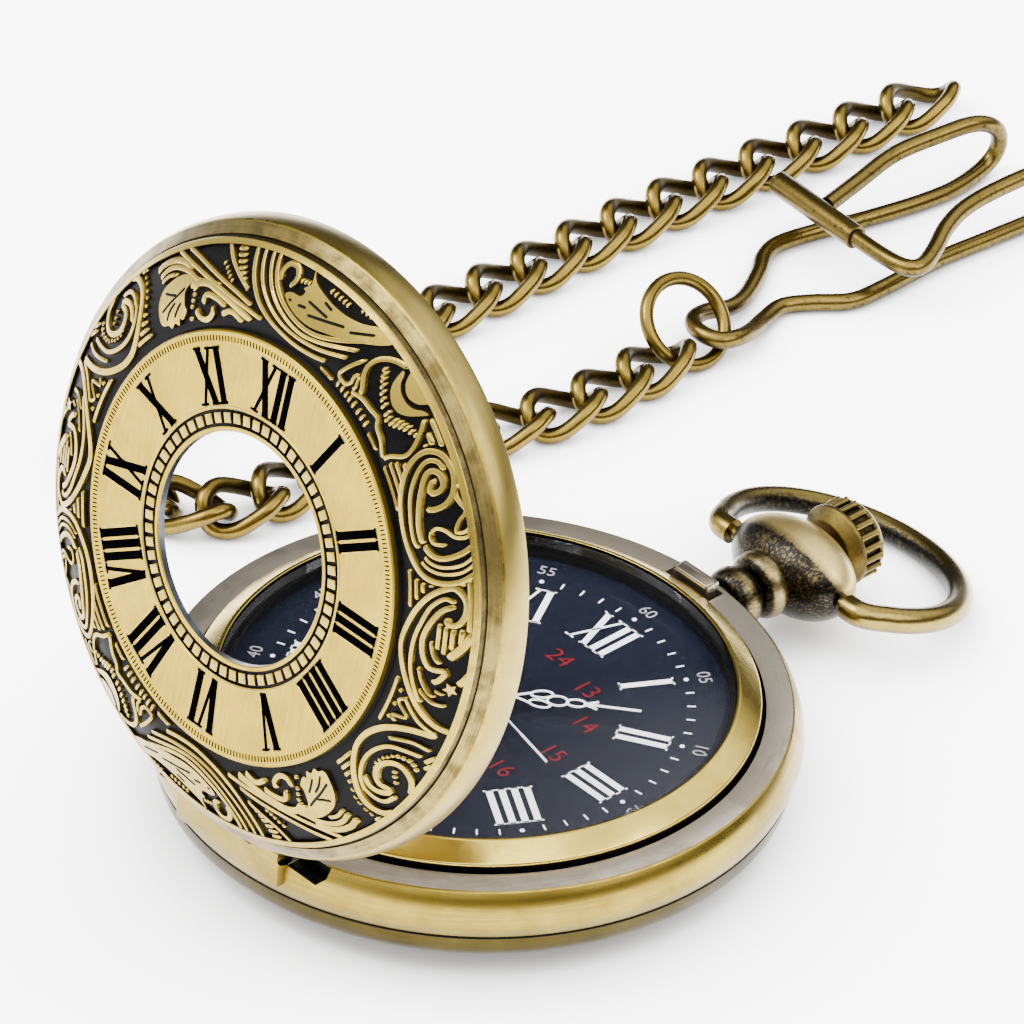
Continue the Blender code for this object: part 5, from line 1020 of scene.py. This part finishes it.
DASHES = (
    (128.4, 130.4, 20.8), (129.5, 130.1, 20.3), (129.8, 130.4, 19.85), (129.9, 130.5, 19.3),
    (129.7, 130.3, 18.85), (128.9, 129.7, 18.35), (127.6, 129.2, 17.8), (126.2, 128.8, 17.3),
    (124.6, 128.6, 16.8), (122.5, 129.0, 16.3), (-34.2, -33.0, 17.7), (-34.7, -33.5, 17.3),
    (-35.2, -34.0, 16.9), (-36.2, -34.6, 16.1), (-22.3, -19.7, 20.65), (-22.0, -19.4, 20.25),
    (-21.5, -19.1, 19.85), (-20.8, -18.6, 19.45), (-20.2, -18.2, 19.1), (-19.0, -17.6, 18.75),
    (-17.3, -16.3, 18.2), (-25.4, -24.6, 19.65), (-24.5, -23.7, 19.35), (-23.8, -23.0, 19.05),
    (-23.1, -22.3, 18.8), (-22.2, -21.4, 18.55), (11.5, 16.8, 16.05), (32.9, 38.2, 16.05),
    (43.6, 46.4, 17.8), (42.6, 47.9, 17.25), (42.1, 50.4, 16.75), (42.1, 53.9, 16.15), (37.1, 47.1, 21.0),
    (37.9, 43.9, 20.6), (40, 42.9, 20.05), (41.9, 42.7, 19.6), (68.6, 78.2, 21.05), (69.3, 80, 20.65),
    (70.1, 70.9, 20.2), (70.8, 71.6, 18.05), (70.4, 73.2, 17.45), (69.6, 75, 16.95), (67.5, 77.1, 16.4),
    (79.3, 82.9, 20.2), (79.6, 84.3, 19.65), (79.3, 85.7, 19.2), (78.9, 85, 18.75), (97.3, 98.7, 16.95),
    (101.3, 102.7, 16.9), (105.1, 106.5, 16.9), (95, 109, 16.4), (112.3, 113.5, 20.25),
    (111.7, 112.9, 19.95), (111.5, 112.7, 19.6), (111.9, 113.1, 19.2), (112.4, 113.6, 18.85),
)
BARS = (
    (4.3, 20.65, 20.2), (5.5, 20.65, 20.2), (6.8, 20.65, 20.2), (8, 20.65, 20.2), (9.1, 20.65, 20.2),
    (12.5, 20.9, 20.6), (13.6, 20.95, 20.65), (14.7, 21.0, 20.7), (-3.2, 20.15, 19.75), (-2.3, 20.2, 19.8),
    (-1.4, 20.25, 19.85), (24.6, 19.8, 19.3), (25.4, 19.7, 19), (26.1, 19.4, 18.8), (27.1, 19.2, 18.55),
    (28.2, 18.95, 18.3), (29.4, 18.7, 18.1), (30.7, 18.6, 17.9), (32.5, 18.55, 17.8), (33.6, 18.4, 17.65),
    (34.8, 18.75, 17.8), (35.7, 18.95, 18), (36.6, 19.1, 18.3), (37.5, 19.3, 18.55), (38.6, 19.4, 18.8),
    (39.6, 19.55, 19.05), (18.6, 16.6, 15.85), (20.4, 16.6, 15.85), (22.1, 16.5, 15.85),
    (23.6, 16.6, 15.85), (25.4, 16.6, 15.85), (27.5, 16.6, 15.85), (29.3, 16.6, 15.85), (31.1, 16.6, 15.85),
    (113.8, 18.72, 18.38), (114.9, 18.52, 18.18), (115.9, 18.32, 17.98), (117.1, 18.22, 17.88),
    (118.4, 18.17, 17.83), (119.6, 18.32, 17.98),
)
LEAVES = (
    ((-46.4, 16.8), (-45.7, 17.9), (-43.6, 18.7), (-40.7, 19.05), (-37.1, 19.2), (-33.2, 18.85),
     (-35.7, 18.3), (-36.6, 17.9), (-36.9, 17.1), (-36.4, 16.7), (-38.2, 16.2), (-39.3, 16.35), (-40, 15.9),
     (-41.4, 16.15), (-42.9, 15.9), (-43.9, 16.2), (-45.7, 16.3)),
    ((-1.4, 20.95), (0.2, 20.35), (4.3, 19.95), (9.3, 19.85), (14.3, 20.25), (18.2, 21.0), (21.8, 21.0),
     (20.8, 20.4), (17.9, 19.6), (13.6, 18.75), (8.6, 18.15), (4.3, 17.8), (0, 17.85), (-3.6, 18.25),
     (-5.6, 18.75), (-4.2, 19.05), (-1.6, 19.1), (-1, 19.5), (-1.8, 19.65), (-0.6, 20.1)),
    ((28.4, 21.05), (28.6, 20.8), (29.5, 20.3), (31, 20), (32, 19.95), (33, 20), (34.5, 20.3), (35.4, 20.8),
     (35.6, 21.05)),
    ((27.3, 20.5), (28, 19.6), (29.3, 19.1), (31, 18.85), (32.4, 18.8), (34, 18.95), (35.5, 19.4),
     (36.7, 20.1), (37.3, 20.6), (36, 20.35), (35, 19.95), (33.5, 19.7), (32, 19.65), (30.5, 19.7),
     (29, 20), (28.2, 20.4)),
)
VEINS = (
    ((-45.2, 17.2), (-42, 17.6), (-38.5, 18.0), (-36.4, 18.3)),
    ((-44.2, 16.5), (-42.3, 17.1), (-40, 17.5)),
    ((-41.2, 16.5), (-39.6, 17.0), (-38, 17.4)),
    ((-43.4, 18.4), (-41.2, 18.1), (-39.4, 17.95)),
    ((4.3, 19.67), (7.1, 19.53)),
    ((0.7, 19.13), (7.1, 19.0)),
    ((2.1, 18.33), (7, 18.75), (11.8, 19.33)),
    ((13.2, 19.27), (18.2, 20.4)),
    ((-4.3, 18.6), (-3.2, 18.53)),
    ((-1.4, 18.53), (1.1, 18.67)),
)
STAR_CENTRE, STAR_RADIUS = (92.3, 20.15), 0.5
RIB_CREST, LEAF_CREST, VEIN_RISE = 0.05, 0.03, 0.055
DASH_WIDTH, BAR_WIDTH, VEIN_WIDTH = 0.35, 0.3, 0.26


def ribbon(shape, route, width, crest, low, mat=0):
    """A rib on the cover's domed ring along (clock, radius) points, with round shoulders and tapered ends."""
    line = smooth_route([(*polar(radius, clock), 0.0) for clock, radius in route], 5)
    along = [0.0]
    for a, b in zip(line, line[1:]):
        along.append(along[-1] + (b - a).length)
    total = along[-1]
    tip = min(width * 0.6, total * 0.4)
    stations = [tip * s for s in (0.0, 0.12, 0.4, 1.0)]
    middle = max(1, int((total - 2 * tip) / 0.22))
    stations += [tip + (total - 2 * tip) * i / middle for i in range(1, middle)]
    stations += [total - tip * s for s in (1.0, 0.4, 0.12, 0.0)]
    across = ((-0.5, low), (-0.38, crest - 0.05), (0.0, crest), (0.38, crest - 0.05), (0.5, low))
    verts = []
    at = 0
    for station in stations:
        while at < len(line) - 2 and along[at + 1] < station:
            at += 1
        step = (line[at + 1] - line[at]).normalized()
        point = line[at] + step * (station - along[at])
        side = Vector((-step.y, step.x, 0.0))
        short = min(1.0, min(station, total - station) / tip)
        full = max(0.06, math.sqrt(max(0.0, 1 - (1 - short) ** 2)))
        for offset, height in across:
            place = point + side * (offset * width * full)
            ground = dome_height(place.length)
            verts.append((place.x, place.y, ground + low + (height - low) * full))
    size = len(across)
    faces = [(i * size + k, i * size + (k + 1) % size, (i + 1) * size + (k + 1) % size, (i + 1) * size + k)
             for i in range(len(stations) - 1) for k in range(size)]
    faces.append(tuple(range(size)))
    faces.append(tuple((len(stations) - 1) * size + k for k in range(size)))
    shape.add(verts, faces, mat)


def build_ornament():
    shape = Shape()
    low = -GROUND_DEPTH - 0.02
    for half in (0.0, 180.0):
        for width, route in RIBS:
            ribbon(shape, [(clock + half, radius) for clock, radius in route], width, RIB_CREST, low)
        for first, last, radius in DASHES:
            route = [(first + (last - first) * i / 3 + half, radius) for i in range(4)]
            ribbon(shape, route, DASH_WIDTH, RIB_CREST, low)
        for clock, outer, inner in BARS:
            ribbon(shape, [(clock + half, outer), (clock + half, inner)], BAR_WIDTH, RIB_CREST, low)
        for leaf in LEAVES:
            route = [(*polar(radius, clock + half), 0.0) for clock, radius in leaf]
            outline = [(p.x, p.y) for p in smooth_route(route, 3, closed=True)]
            plate(shape, outline, low, LEAF_CREST, 0, dome_height, 2)
        for route in VEINS:
            line = [(clock + half, radius) for clock, radius in route]
            ribbon(shape, line, VEIN_WIDTH, LEAF_CREST + VEIN_RISE, LEAF_CREST - 0.05, 1)
        x, y = polar(STAR_CENTRE[1], STAR_CENTRE[0] + half)
        points = [(STAR_RADIUS * (1.0 if i % 2 else 0.5), math.tau * i / 10) for i in range(10)]
        star = [(x + reach * math.sin(turn), y + reach * math.cos(turn)) for reach, turn in points]
        plate(shape, star, low, RIB_CREST, 0, dome_height)
    ornament = shape.build("cover_ornament", ["ornament", "ground"], 40.0, cover_matrix())
    settle(ornament, "cover", [])


# Pendant, bow and crown, by their distance from the watch's middle
NECK_RADIUS, NECK_PROFILE, NECK_END = 1.5, ((1.6, 22.4), (1.6, 23.5), (1.5, 23.8)), 29.4
NECK_BEADS = ((25.4, 2.4, 2.4), (28.0, 2.62, 2.3))
HEAD_MIDDLE, HEAD_FACE, HEAD_HALF = 31.4, 34.13, (5.6, 3.4, 3.5)
HEAD_ROWS, HEAD_SIDES = 40, 72
# The head brightens towards the crown with wear, and more on its upper side as a painted highlight.
HEAD_WEAR_START, HEAD_TOP_LIGHT_LEAN, HEAD_WEAR_FADE = 30.4, 0.9, 1.5
BOW_PIVOT, BOW_TILT, BOW_WIRE, BOW_PIN = 31.0, 16.5, 0.975, 0.5
BOW_ARCH_MIDDLE, BOW_ARCH_HALF, BOW_ARCH_TURN, BOW_ARCH_STEPS = 5.6, (9.65, 8.3), 118.0, 22
BOW_STRAIGHT, BOW_END, BOW_PIN_ENDS = 6.95, 6.05, (6.1, 4.55)
CROWN_DRUM, CROWN_TIP = 35.8, 37.45
CROWN_TUBE, CROWN_TUBE_BORE, CROWN_TUBE_START, CROWN_SKIRT_START = 0.95, 0.31, 22.66, 34.75
CROWN_SKIRT, CROWN_CORE, FLUTES, FLUTE_RING, FLUTE_WIRE = 3.2, 2.76, 20, 2.88, 0.27


def along_stem():
    """Turns a lathed piece's axis to the stem's."""
    return Matrix.Translation((0.0, 0.0, PENDANT_Z)) @ Matrix.Rotation(-math.pi / 2, 4, "X")


def build_pendant():
    neck = list(NECK_PROFILE)
    for middle, size, thickness in NECK_BEADS:
        for turn in (math.pi * i / 12 for i in range(13)):
            neck.append((NECK_RADIUS + (size - NECK_RADIUS) * math.sin(turn),
                         middle - thickness / 2 * math.cos(turn)))
    neck.append((NECK_RADIUS, NECK_END))

    def neck_wear(radius, height):
        return 0.46 * max(0.0, min(1.0, (radius - 1.8) / 0.7))

    shape = Shape()
    lathe(shape, neck, 64, wear=neck_wear, frame_matrix=along_stem())
    rows, verts, levels = [], [], []
    wide, deep, tall = HEAD_HALF
    for i in range(HEAD_ROWS + 1):
        angle = math.pi * (i / HEAD_ROWS)
        along = HEAD_MIDDLE - deep * math.cos(angle)
        size = math.sin(angle)
        if along > HEAD_FACE:
            break
        rows.append(len(verts))
        for turn in (math.tau * k / HEAD_SIDES for k in range(HEAD_SIDES)):
            x, z = wide * size * math.cos(turn), PENDANT_Z + tall * size * math.sin(turn)
            verts.append(Vector((x, along, z)))
            # Wear towards the crown, plus a lift on the upper side: a painted highlight.
            worn_and_top_lit = (along - HEAD_WEAR_START + HEAD_TOP_LIGHT_LEAN * size * math.sin(turn)) / HEAD_WEAR_FADE
            levels.append(max(0.0, min(1.0, worn_and_top_lit)))
    faces = [(a + k, b + k, b + (k + 1) % HEAD_SIDES, a + (k + 1) % HEAD_SIDES)
             for a, b in zip(rows, rows[1:]) for k in range(HEAD_SIDES)]
    faces.append(tuple(rows[-1] + k for k in range(HEAD_SIDES)))
    shape.add(verts, faces, 0, levels)
    settle(shape.build("pendant_head", ["patina"]), "case", ["pendant"])


def build_bow():
    turns = [math.radians(BOW_ARCH_TURN * i / BOW_ARCH_STEPS) for i in range(BOW_ARCH_STEPS + 1)]
    wide, tall = BOW_ARCH_HALF
    arch = [(wide * math.sin(turn), BOW_ARCH_MIDDLE + tall * math.cos(turn)) for turn in turns]
    x, y = arch[-1]
    bend = [(x * (1 - t) + BOW_STRAIGHT * t, y * (1 - t) ** 2) for t in (0.35, 0.7, 1.0)]
    half = arch[1:] + bend + [(BOW_END, 0.0)]
    line = [(-x, s) for x, s in reversed(half)] + [arch[0]] + half
    tilt = (Matrix.Translation((0.0, BOW_PIVOT, PENDANT_Z))
            @ Matrix.Rotation(math.radians(-BOW_TILT), 4, "X"))
    points = [tilt @ Vector((x, s, 0.0)) for x, s in line]
    centre = tilt @ Vector((0.0, BOW_ARCH_MIDDLE, 0.0))
    above = (tilt.to_3x3() @ Vector((0.0, 0.0, 1.0))).normalized()

    def bow_wear(point, out):
        away = (point - centre).normalized()
        # The outer edge is bright with wear; the upper face is brighter still, a painted highlight.
        return 0.42 + 0.42 * out.dot(away) + 0.3 * out.dot(above)

    shape = Shape()
    tube(shape, smooth_route(points, 4), BOW_WIRE, 24, wear=bow_wear)
    for sign in (-1, 1):
        tube(shape, [tilt @ Vector((sign * x, 0.0, 0.0)) for x in BOW_PIN_ENDS], BOW_PIN, 20)
    settle(shape.build("bow_loop", ["bow"]), "bow", ["bow"])


def build_crown():
    start, tip = CROWN_DRUM, CROWN_TIP
    profile = rounded([(CROWN_TUBE_BORE, CROWN_TUBE_START), (CROWN_TUBE, CROWN_TUBE_START),
                       (CROWN_TUBE, CROWN_SKIRT_START), (2.3, CROWN_SKIRT_START), (CROWN_SKIRT, start - 0.25),
                       (CROWN_SKIRT, start), (CROWN_CORE, start + 0.06), (CROWN_CORE, tip - 0.06),
                       (2.95, tip), (2.85, tip + 0.35), (2.1, tip + 1.0), (0.0, tip + 1.2)],
                      {3: 0.12, 4: 0.12, 5: 0.08, 8: 0.08, 9: 0.2, 10: 0.5})

    def drum_wear(radius, height):
        return 0.02 if 2.7 < radius < 2.8 and start < height < tip else 0.5

    def flute_wear(point, out):
        return 0.25 + 0.65 * out.dot(Vector((point.x, 0.0, point.z - PENDANT_Z)).normalized())

    shape = Shape()
    lathe(shape, profile, 88, frame_matrix=along_stem(), wear=drum_wear)
    places = (start - 0.02, start + 0.12, start + 0.35, (start + tip) / 2, tip - 0.35, tip - 0.12, tip + 0.02)
    for turn in (math.tau * number / FLUTES for number in range(FLUTES)):
        x, z = FLUTE_RING * math.cos(turn), PENDANT_Z + FLUTE_RING * math.sin(turn)
        line = smooth_route([Vector((x, y, z)) for y in places], 3)
        swell = [1.0 + 0.25 * abs(2 * i / (len(line) - 1) - 1) ** 3 for i in range(len(line))]
        tube(shape, line, FLUTE_WIRE, 12, radii=swell, wear=flute_wear)
    settle(shape.build("crown_knob", ["crown"]), "crown", ["crown"])


LINK_COUNT, LINK_PITCH, LINK_FOLD_PITCH = 30, 4.7, 4.16
LINK_WIRE, LINK_HALF_LENGTH, LINK_HALF_WIDTH = 0.62, 3.1, 2.0
LINK_SQUARENESS, LINK_END_TWIST = 0.8, 48.0
FOLD_FIRST_LINK, FOLD_LINKS, FOLD_LIFT, FOLD_ROLL, FOLD_ROLL_LIFT, FOLD_RAMP = 17, 5, 0.6, 14.0, 0.35, 4
FOLD_CENTRE, FOLD_RADIUS = (-41.6, 10.6), 7.4
ROUTE_TO_FOLD = [
    (-42.2, 88.0), (-43.0, 78.0), (-43.9, 68.0), (-44.4, 58.0), (-44.5, 48.2), (-44.4, 38.2), (-45.4, 28.0),
    (-48.3, 18.0),
]
ROUTE_FROM_FOLD = [
    (-34.9, 13.4), (-33.6, 20.0), (-31.2, 27.0), (-29.2, 34.0), (-28.7, 40.5), (-29.2, 47.4),
]


def link_points(count):
    """The middle line of one twisted link."""
    points = []
    for i in range(count):
        turn = math.tau * (i + 0.5) / count
        along = math.copysign(abs(math.cos(turn)) ** LINK_SQUARENESS, math.cos(turn))
        across = math.copysign(abs(math.sin(turn)) ** LINK_SQUARENESS, math.sin(turn))
        twist = -math.radians(LINK_END_TWIST) * along
        side = LINK_HALF_WIDTH * across
        points.append(Vector((LINK_HALF_LENGTH * along, side * math.cos(twist), side * math.sin(twist))))
    return points


def ramp(number):
    """The share of the fold's lift at a pivot."""
    before = (number - FOLD_FIRST_LINK + FOLD_RAMP) / FOLD_RAMP
    after = (FOLD_FIRST_LINK + FOLD_LINKS - number) / FOLD_LINKS
    return max(0.0, min(before, after, 1.0))


def fold_roll(number):
    """How far a link near the fold is rolled over, in degrees."""
    reach = FOLD_LINKS / 2
    offset = (number - FOLD_FIRST_LINK - reach) / reach
    if abs(offset) <= 1.0:
        return FOLD_ROLL * offset
    fade = max(0.0, 1.0 - (abs(offset) - 1.0) * reach / FOLD_RAMP)
    return math.copysign(FOLD_ROLL * fade, offset)


def build_chain():
    arc = [(FOLD_CENTRE[0] + FOLD_RADIUS * math.cos(math.pi * (1 + i / 8)),
            FOLD_CENTRE[1] + FOLD_RADIUS * math.sin(math.pi * (1 + i / 8))) for i in range(9)]
    route = smooth_route([(x, y, 0.0) for x, y in ROUTE_TO_FOLD + arc + ROUTE_FROM_FOLD], 60)
    coarse = link_points(12)
    height = max(p.z for p in coarse) + LINK_WIRE + 0.05
    pivots = [route[0].copy()]
    at = 0
    for number in range(LINK_COUNT):
        folding = FOLD_FIRST_LINK <= number < FOLD_FIRST_LINK + FOLD_LINKS
        pitch = LINK_FOLD_PITCH if folding else LINK_PITCH
        while at < len(route) - 1 and (route[at] - pivots[-1]).length < pitch:
            at += 1
        pivots.append(pivots[-1] + (route[at] - pivots[-1]).normalized() * pitch)
    for number, pivot in enumerate(pivots):
        lean = abs(fold_roll(number)) / FOLD_ROLL
        pivot.z = height + max(FOLD_LIFT * ramp(number), FOLD_ROLL_LIFT * lean)
    ring = smooth_route(coarse, 4, closed=True)
    for number, (start, end) in enumerate(zip(pivots, pivots[1:]), 1):
        along = (end - start).normalized()
        side = Vector((0.0, 0.0, 1.0)).cross(along).normalized()
        turn = Matrix((along, side, along.cross(side))).transposed().to_4x4()
        roll = Matrix.Rotation(math.radians(fold_roll(number - 0.5)), 4, "X")
        middle = (start + end) / 2
        lay = Matrix.Translation(middle) @ turn @ roll
        points = [lay @ p for p in ring]

        def link_wear(point, out):
            away = (point - middle).normalized()
            # Outer sides bright with wear; the upper side brighter still, a painted highlight.
            return 0.3 + 0.35 * out.dot(away) + 0.35 * out.z

        shape = Shape()
        tube(shape, points, LINK_WIRE, 14, closed=True, wear=link_wear)
        settle(shape.build(f"curb_link_{number:02d}", ["bronze"]), "case", [f"chain_link_{number:02d}"])


RING_CENTRE, RING_RADIUS, RING_WIRE, RING_LEAN = (-30.2, 48.9, 3.05), 3.45, 0.55, 45.0
CLIP_WIRE = 0.68
CLIP_ROUTE = [
    (-33.9, 67.3, 4.0), (-34.5, 71.0, 4.2), (-35.0, 75.5, 4.7), (-34.2, 79.5, 5.2), (-33.4, 82.6, 5.4),
    (-33.0, 84.6, 4.4), (-33.1, 85.2, 2.5), (-33.2, 84.0, 1.0), (-32.7, 80.3, 0.75), (-33.0, 76.5, 0.75),
    (-34.0, 71.8, 0.75), (-35.1, 67.8, 0.75), (-35.8, 64.2, 0.75), (-35.2, 62.0, 0.75),
    (-33.8, 60.1, 0.75), (-32.1, 57.1, 0.85), (-31.4, 54.7, 1.2), (-31.5, 52.4, 1.8), (-31.0, 50.6, 2.2),
    (-29.9, 49.7, 2.3), (-28.6, 49.6, 2.3), (-27.5, 50.2, 2.2), (-27.2, 51.6, 2.0), (-27.7, 53.5, 1.5),
    (-28.7, 55.8, 1.0), (-29.4, 58.4, 0.75), (-28.3, 60.6, 0.75), (-26.6, 63.0, 0.75), (-26.3, 66.0, 0.75),
    (-26.4, 72.2, 0.75), (-25.9, 78.0, 0.75), (-25.5, 83.0, 0.9), (-25.3, 85.0, 2.3), (-25.3, 84.4, 4.4),
    (-25.4, 82.0, 5.4), (-25.9, 77.5, 5.2), (-25.9, 74.2, 4.9), (-25.2, 71.6, 4.6), (-24.0, 69.2, 4.2),
    (-23.3, 67.3, 4.0), (-23.7, 66.2, 4.0), (-25.4, 65.8, 4.0), (-29.2, 65.9, 4.0), (-38.3, 66.5, 4.0),
]
SLEEVE_RADIUS, SLEEVE_BORE, SLEEVE_LENGTH, SLEEVE_OVERHANG = 0.96, 0.74, 9.4, 0.3


def build_clip():
    def upper_wear(point, out):
        # Brighter on the side that faces up: a painted highlight.
        return 0.4 + 0.4 * out.z

    lean = Matrix.Translation(RING_CENTRE) @ Matrix.Rotation(math.radians(RING_LEAN), 4, "Y")
    ring = [lean @ Vector((RING_RADIUS * math.cos(turn), RING_RADIUS * math.sin(turn), 0.0))
            for turn in (math.tau * i / 64 for i in range(64))]
    shape = Shape()
    tube(shape, ring, RING_WIRE, 16, closed=True, wear=upper_wear)
    settle(shape.build("split_ring", ["bronze"]), "case", ["jump_ring"])

    shape = Shape()
    tube(shape, smooth_route(CLIP_ROUTE, 6), CLIP_WIRE, 16, wear=upper_wear)
    settle(shape.build("clip_bent_wire", ["clip"]), "case", ["clip_wire"])

    first, last = Vector(CLIP_ROUTE[-1]), Vector(CLIP_ROUTE[-2])
    axis = (last - first).normalized()
    turn = axis.to_track_quat("Z", "Y").to_matrix().to_4x4()
    lay = Matrix.Translation(first - axis * SLEEVE_OVERHANG) @ turn
    profile = rounded([(SLEEVE_BORE, 0.0), (SLEEVE_RADIUS, 0.0), (SLEEVE_RADIUS, SLEEVE_LENGTH),
                       (SLEEVE_BORE, SLEEVE_LENGTH)], 0.07)
    shape = Shape()
    lathe(shape, profile, 40, frame_matrix=lay, closed=True)
    settle(shape.build("clip_tube", ["clip"]), "case", ["clip_sleeve"])


CARRIED = {
    "steel": ("hinge_pin", "stem", "lift_spring", "train_bridge", "rotor", "battery"),
    "brass": ("main_plate", "intermediate_wheel", "seconds_wheel", "third_wheel", "centre_wheel",
              "minute_wheel", "hour_wheel"),
    "copper": ("step_motor",),
    "catch": ("catch_spring",),
}


def build_catch_cap():
    """The rounded head of the catch, over its post in the slot."""
    shape = Shape()
    block(shape, *CATCH_HEAD, CATCH_HEAD_ROUNDING)
    settle(shape.build("catch_head", ["catch"]), "catch", [])


def dress_carried_nodes():
    for look, names in CARRIED.items():
        for name in names:
            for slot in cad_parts[name].material_slots:
                slot.material = LOOKS[look]


# Glows in the room: the way to each, where it begins and is full, and its level
TOP_GLOW = (0.15, -0.35, 0.92), 0.74, 0.9, 5.5
SIDE_GLOW = (-0.5, -0.8, 0.33), 0.5, 0.85, 2.0
BACK_GLOW = (0.1, 0.62, 0.78), 0.8, 0.95, 2.6
ROOM_LIGHT, FLOOR_GLOW = 0.1, 6.0
# Softboxes in metres: name, place, size and power
SOFTBOXES = ("key", (-0.35, -0.45, 0.75), (0.5, 0.5), 10.0), ("fill", (0.6, 0.2, 0.6), (0.6, 0.4), 5.0)
SOFTBOX_AIM = (0.0, 0.0, 0.01)
# The floor: half its size in metres, its two whites, and how far from a piece the painted contact shadow in
# its glow reaches
FLOOR_REACH, FLOOR_WHITES, PAINTED_SHADOW_REACH = 4.0, ((0.86, 0.86, 0.86), (0.88, 0.88, 0.88)), 30.0


def build_stage():
    mesh = bpy.data.meshes.new("floor")
    corners = ((-1, -1), (1, -1), (1, 1), (-1, 1))
    mesh.from_pydata([(FLOOR_REACH * x, FLOOR_REACH * y, 0.0) for x, y in corners], [], [(0, 1, 2, 3)])
    look, tree, shader = new_material("floor_white")
    shade = tree.noise(tree.coordinates((0.02,) * 3))
    white = tree.blend(shade, *FLOOR_WHITES)
    tree.link(white, shader.inputs["Base Color"])
    shader.inputs["Roughness"].default_value = 0.7
    # The floor glows: painted light that whitens it and lights the pieces from below.
    shader.inputs["Emission Color"].default_value = (1.0, 1.0, 1.0, 1.0)
    # Its glow is dimmed by ambient occlusion near the pieces: a painted contact shadow, which the pieces also
    # mirror.
    painted_contact_shadow = tree.new("ShaderNodeAmbientOcclusion")
    painted_contact_shadow.inputs["Distance"].default_value = PAINTED_SHADOW_REACH * MM
    tree.link(tree.spread(painted_contact_shadow.outputs["AO"], 0.3, 1.0, 0.05 * FLOOR_GLOW, FLOOR_GLOW),
              shader.inputs["Emission Strength"])
    mesh.materials.append(look)
    floor = bpy.data.objects.new("floor", mesh)
    bpy.context.scene.collection.objects.link(floor)

    world = bpy.data.worlds.new("studio")
    bpy.context.scene.world = world
    world.use_nodes = True
    tree = Nodes(world.node_tree)
    split = tree.new("ShaderNodeSeparateXYZ")
    tree.link(tree.new("ShaderNodeTexCoord").outputs["Generated"], split.inputs[0])

    def glow(aim, low, high, level):
        parts = [tree.maths("MULTIPLY", axis, share) for axis, share in zip(split.outputs, aim)]
        facing = tree.maths("ADD", tree.maths("ADD", parts[0], parts[1]), parts[2])
        return tree.spread(facing, low, high, 0.0, level)

    overhead, side, behind = (glow(*light) for light in (TOP_GLOW, SIDE_GLOW, BACK_GLOW))
    brightest = tree.maths("MAXIMUM", tree.maths("MAXIMUM", overhead, side), behind)
    room = tree.maths("ADD", brightest, ROOM_LIGHT)
    tree.link(room, tree.nodes["Background"].inputs[1])
    tree.nodes["Background"].inputs[0].default_value = (1.0, 1.0, 1.0, 1.0)

    for name, place, size, power in SOFTBOXES:
        light = bpy.data.lights.new(name, "AREA")
        light.shape = "RECTANGLE"
        light.size, light.size_y = size
        light.energy = power
        obj = bpy.data.objects.new(name, light)
        bpy.context.scene.collection.objects.link(obj)
        obj.location = place
        obj.rotation_euler = (Vector(SOFTBOX_AIM) - Vector(place)).to_track_quat("-Z", "Y").to_euler()


def build_camera():
    az, el, roll = (math.radians(a) for a in (CAMERA_AZIMUTH, CAMERA_ELEVATION, CAMERA_ROLL))
    back = Vector((math.sin(az) * math.cos(el), -math.cos(az) * math.cos(el), math.sin(el)))
    right = Vector((math.cos(az), math.sin(az), 0.0))
    up = back.cross(right)
    right, up = right * math.cos(roll) + up * math.sin(roll), up * math.cos(roll) - right * math.sin(roll)
    camera = bpy.data.cameras.new("camera")
    camera.lens = CAMERA_LENS
    camera.sensor_width = 36.0
    camera.clip_start = 0.05
    camera.clip_end = 20.0
    obj = bpy.data.objects.new("camera", camera)
    bpy.context.scene.collection.objects.link(obj)
    turn = Matrix((right, up, back)).transposed().to_4x4()
    obj.matrix_world = Matrix.Translation((Vector(CAMERA_TARGET) + back * CAMERA_DISTANCE) * MM) @ turn
    bpy.context.scene.camera = obj


build_case()
build_bezel_and_crystal()
build_dial()
build_hands()
build_cover()
build_ornament()
build_pendant()
build_bow()
build_crown()
build_chain()
build_clip()
build_catch_cap()
dress_carried_nodes()
build_stage()
build_camera()
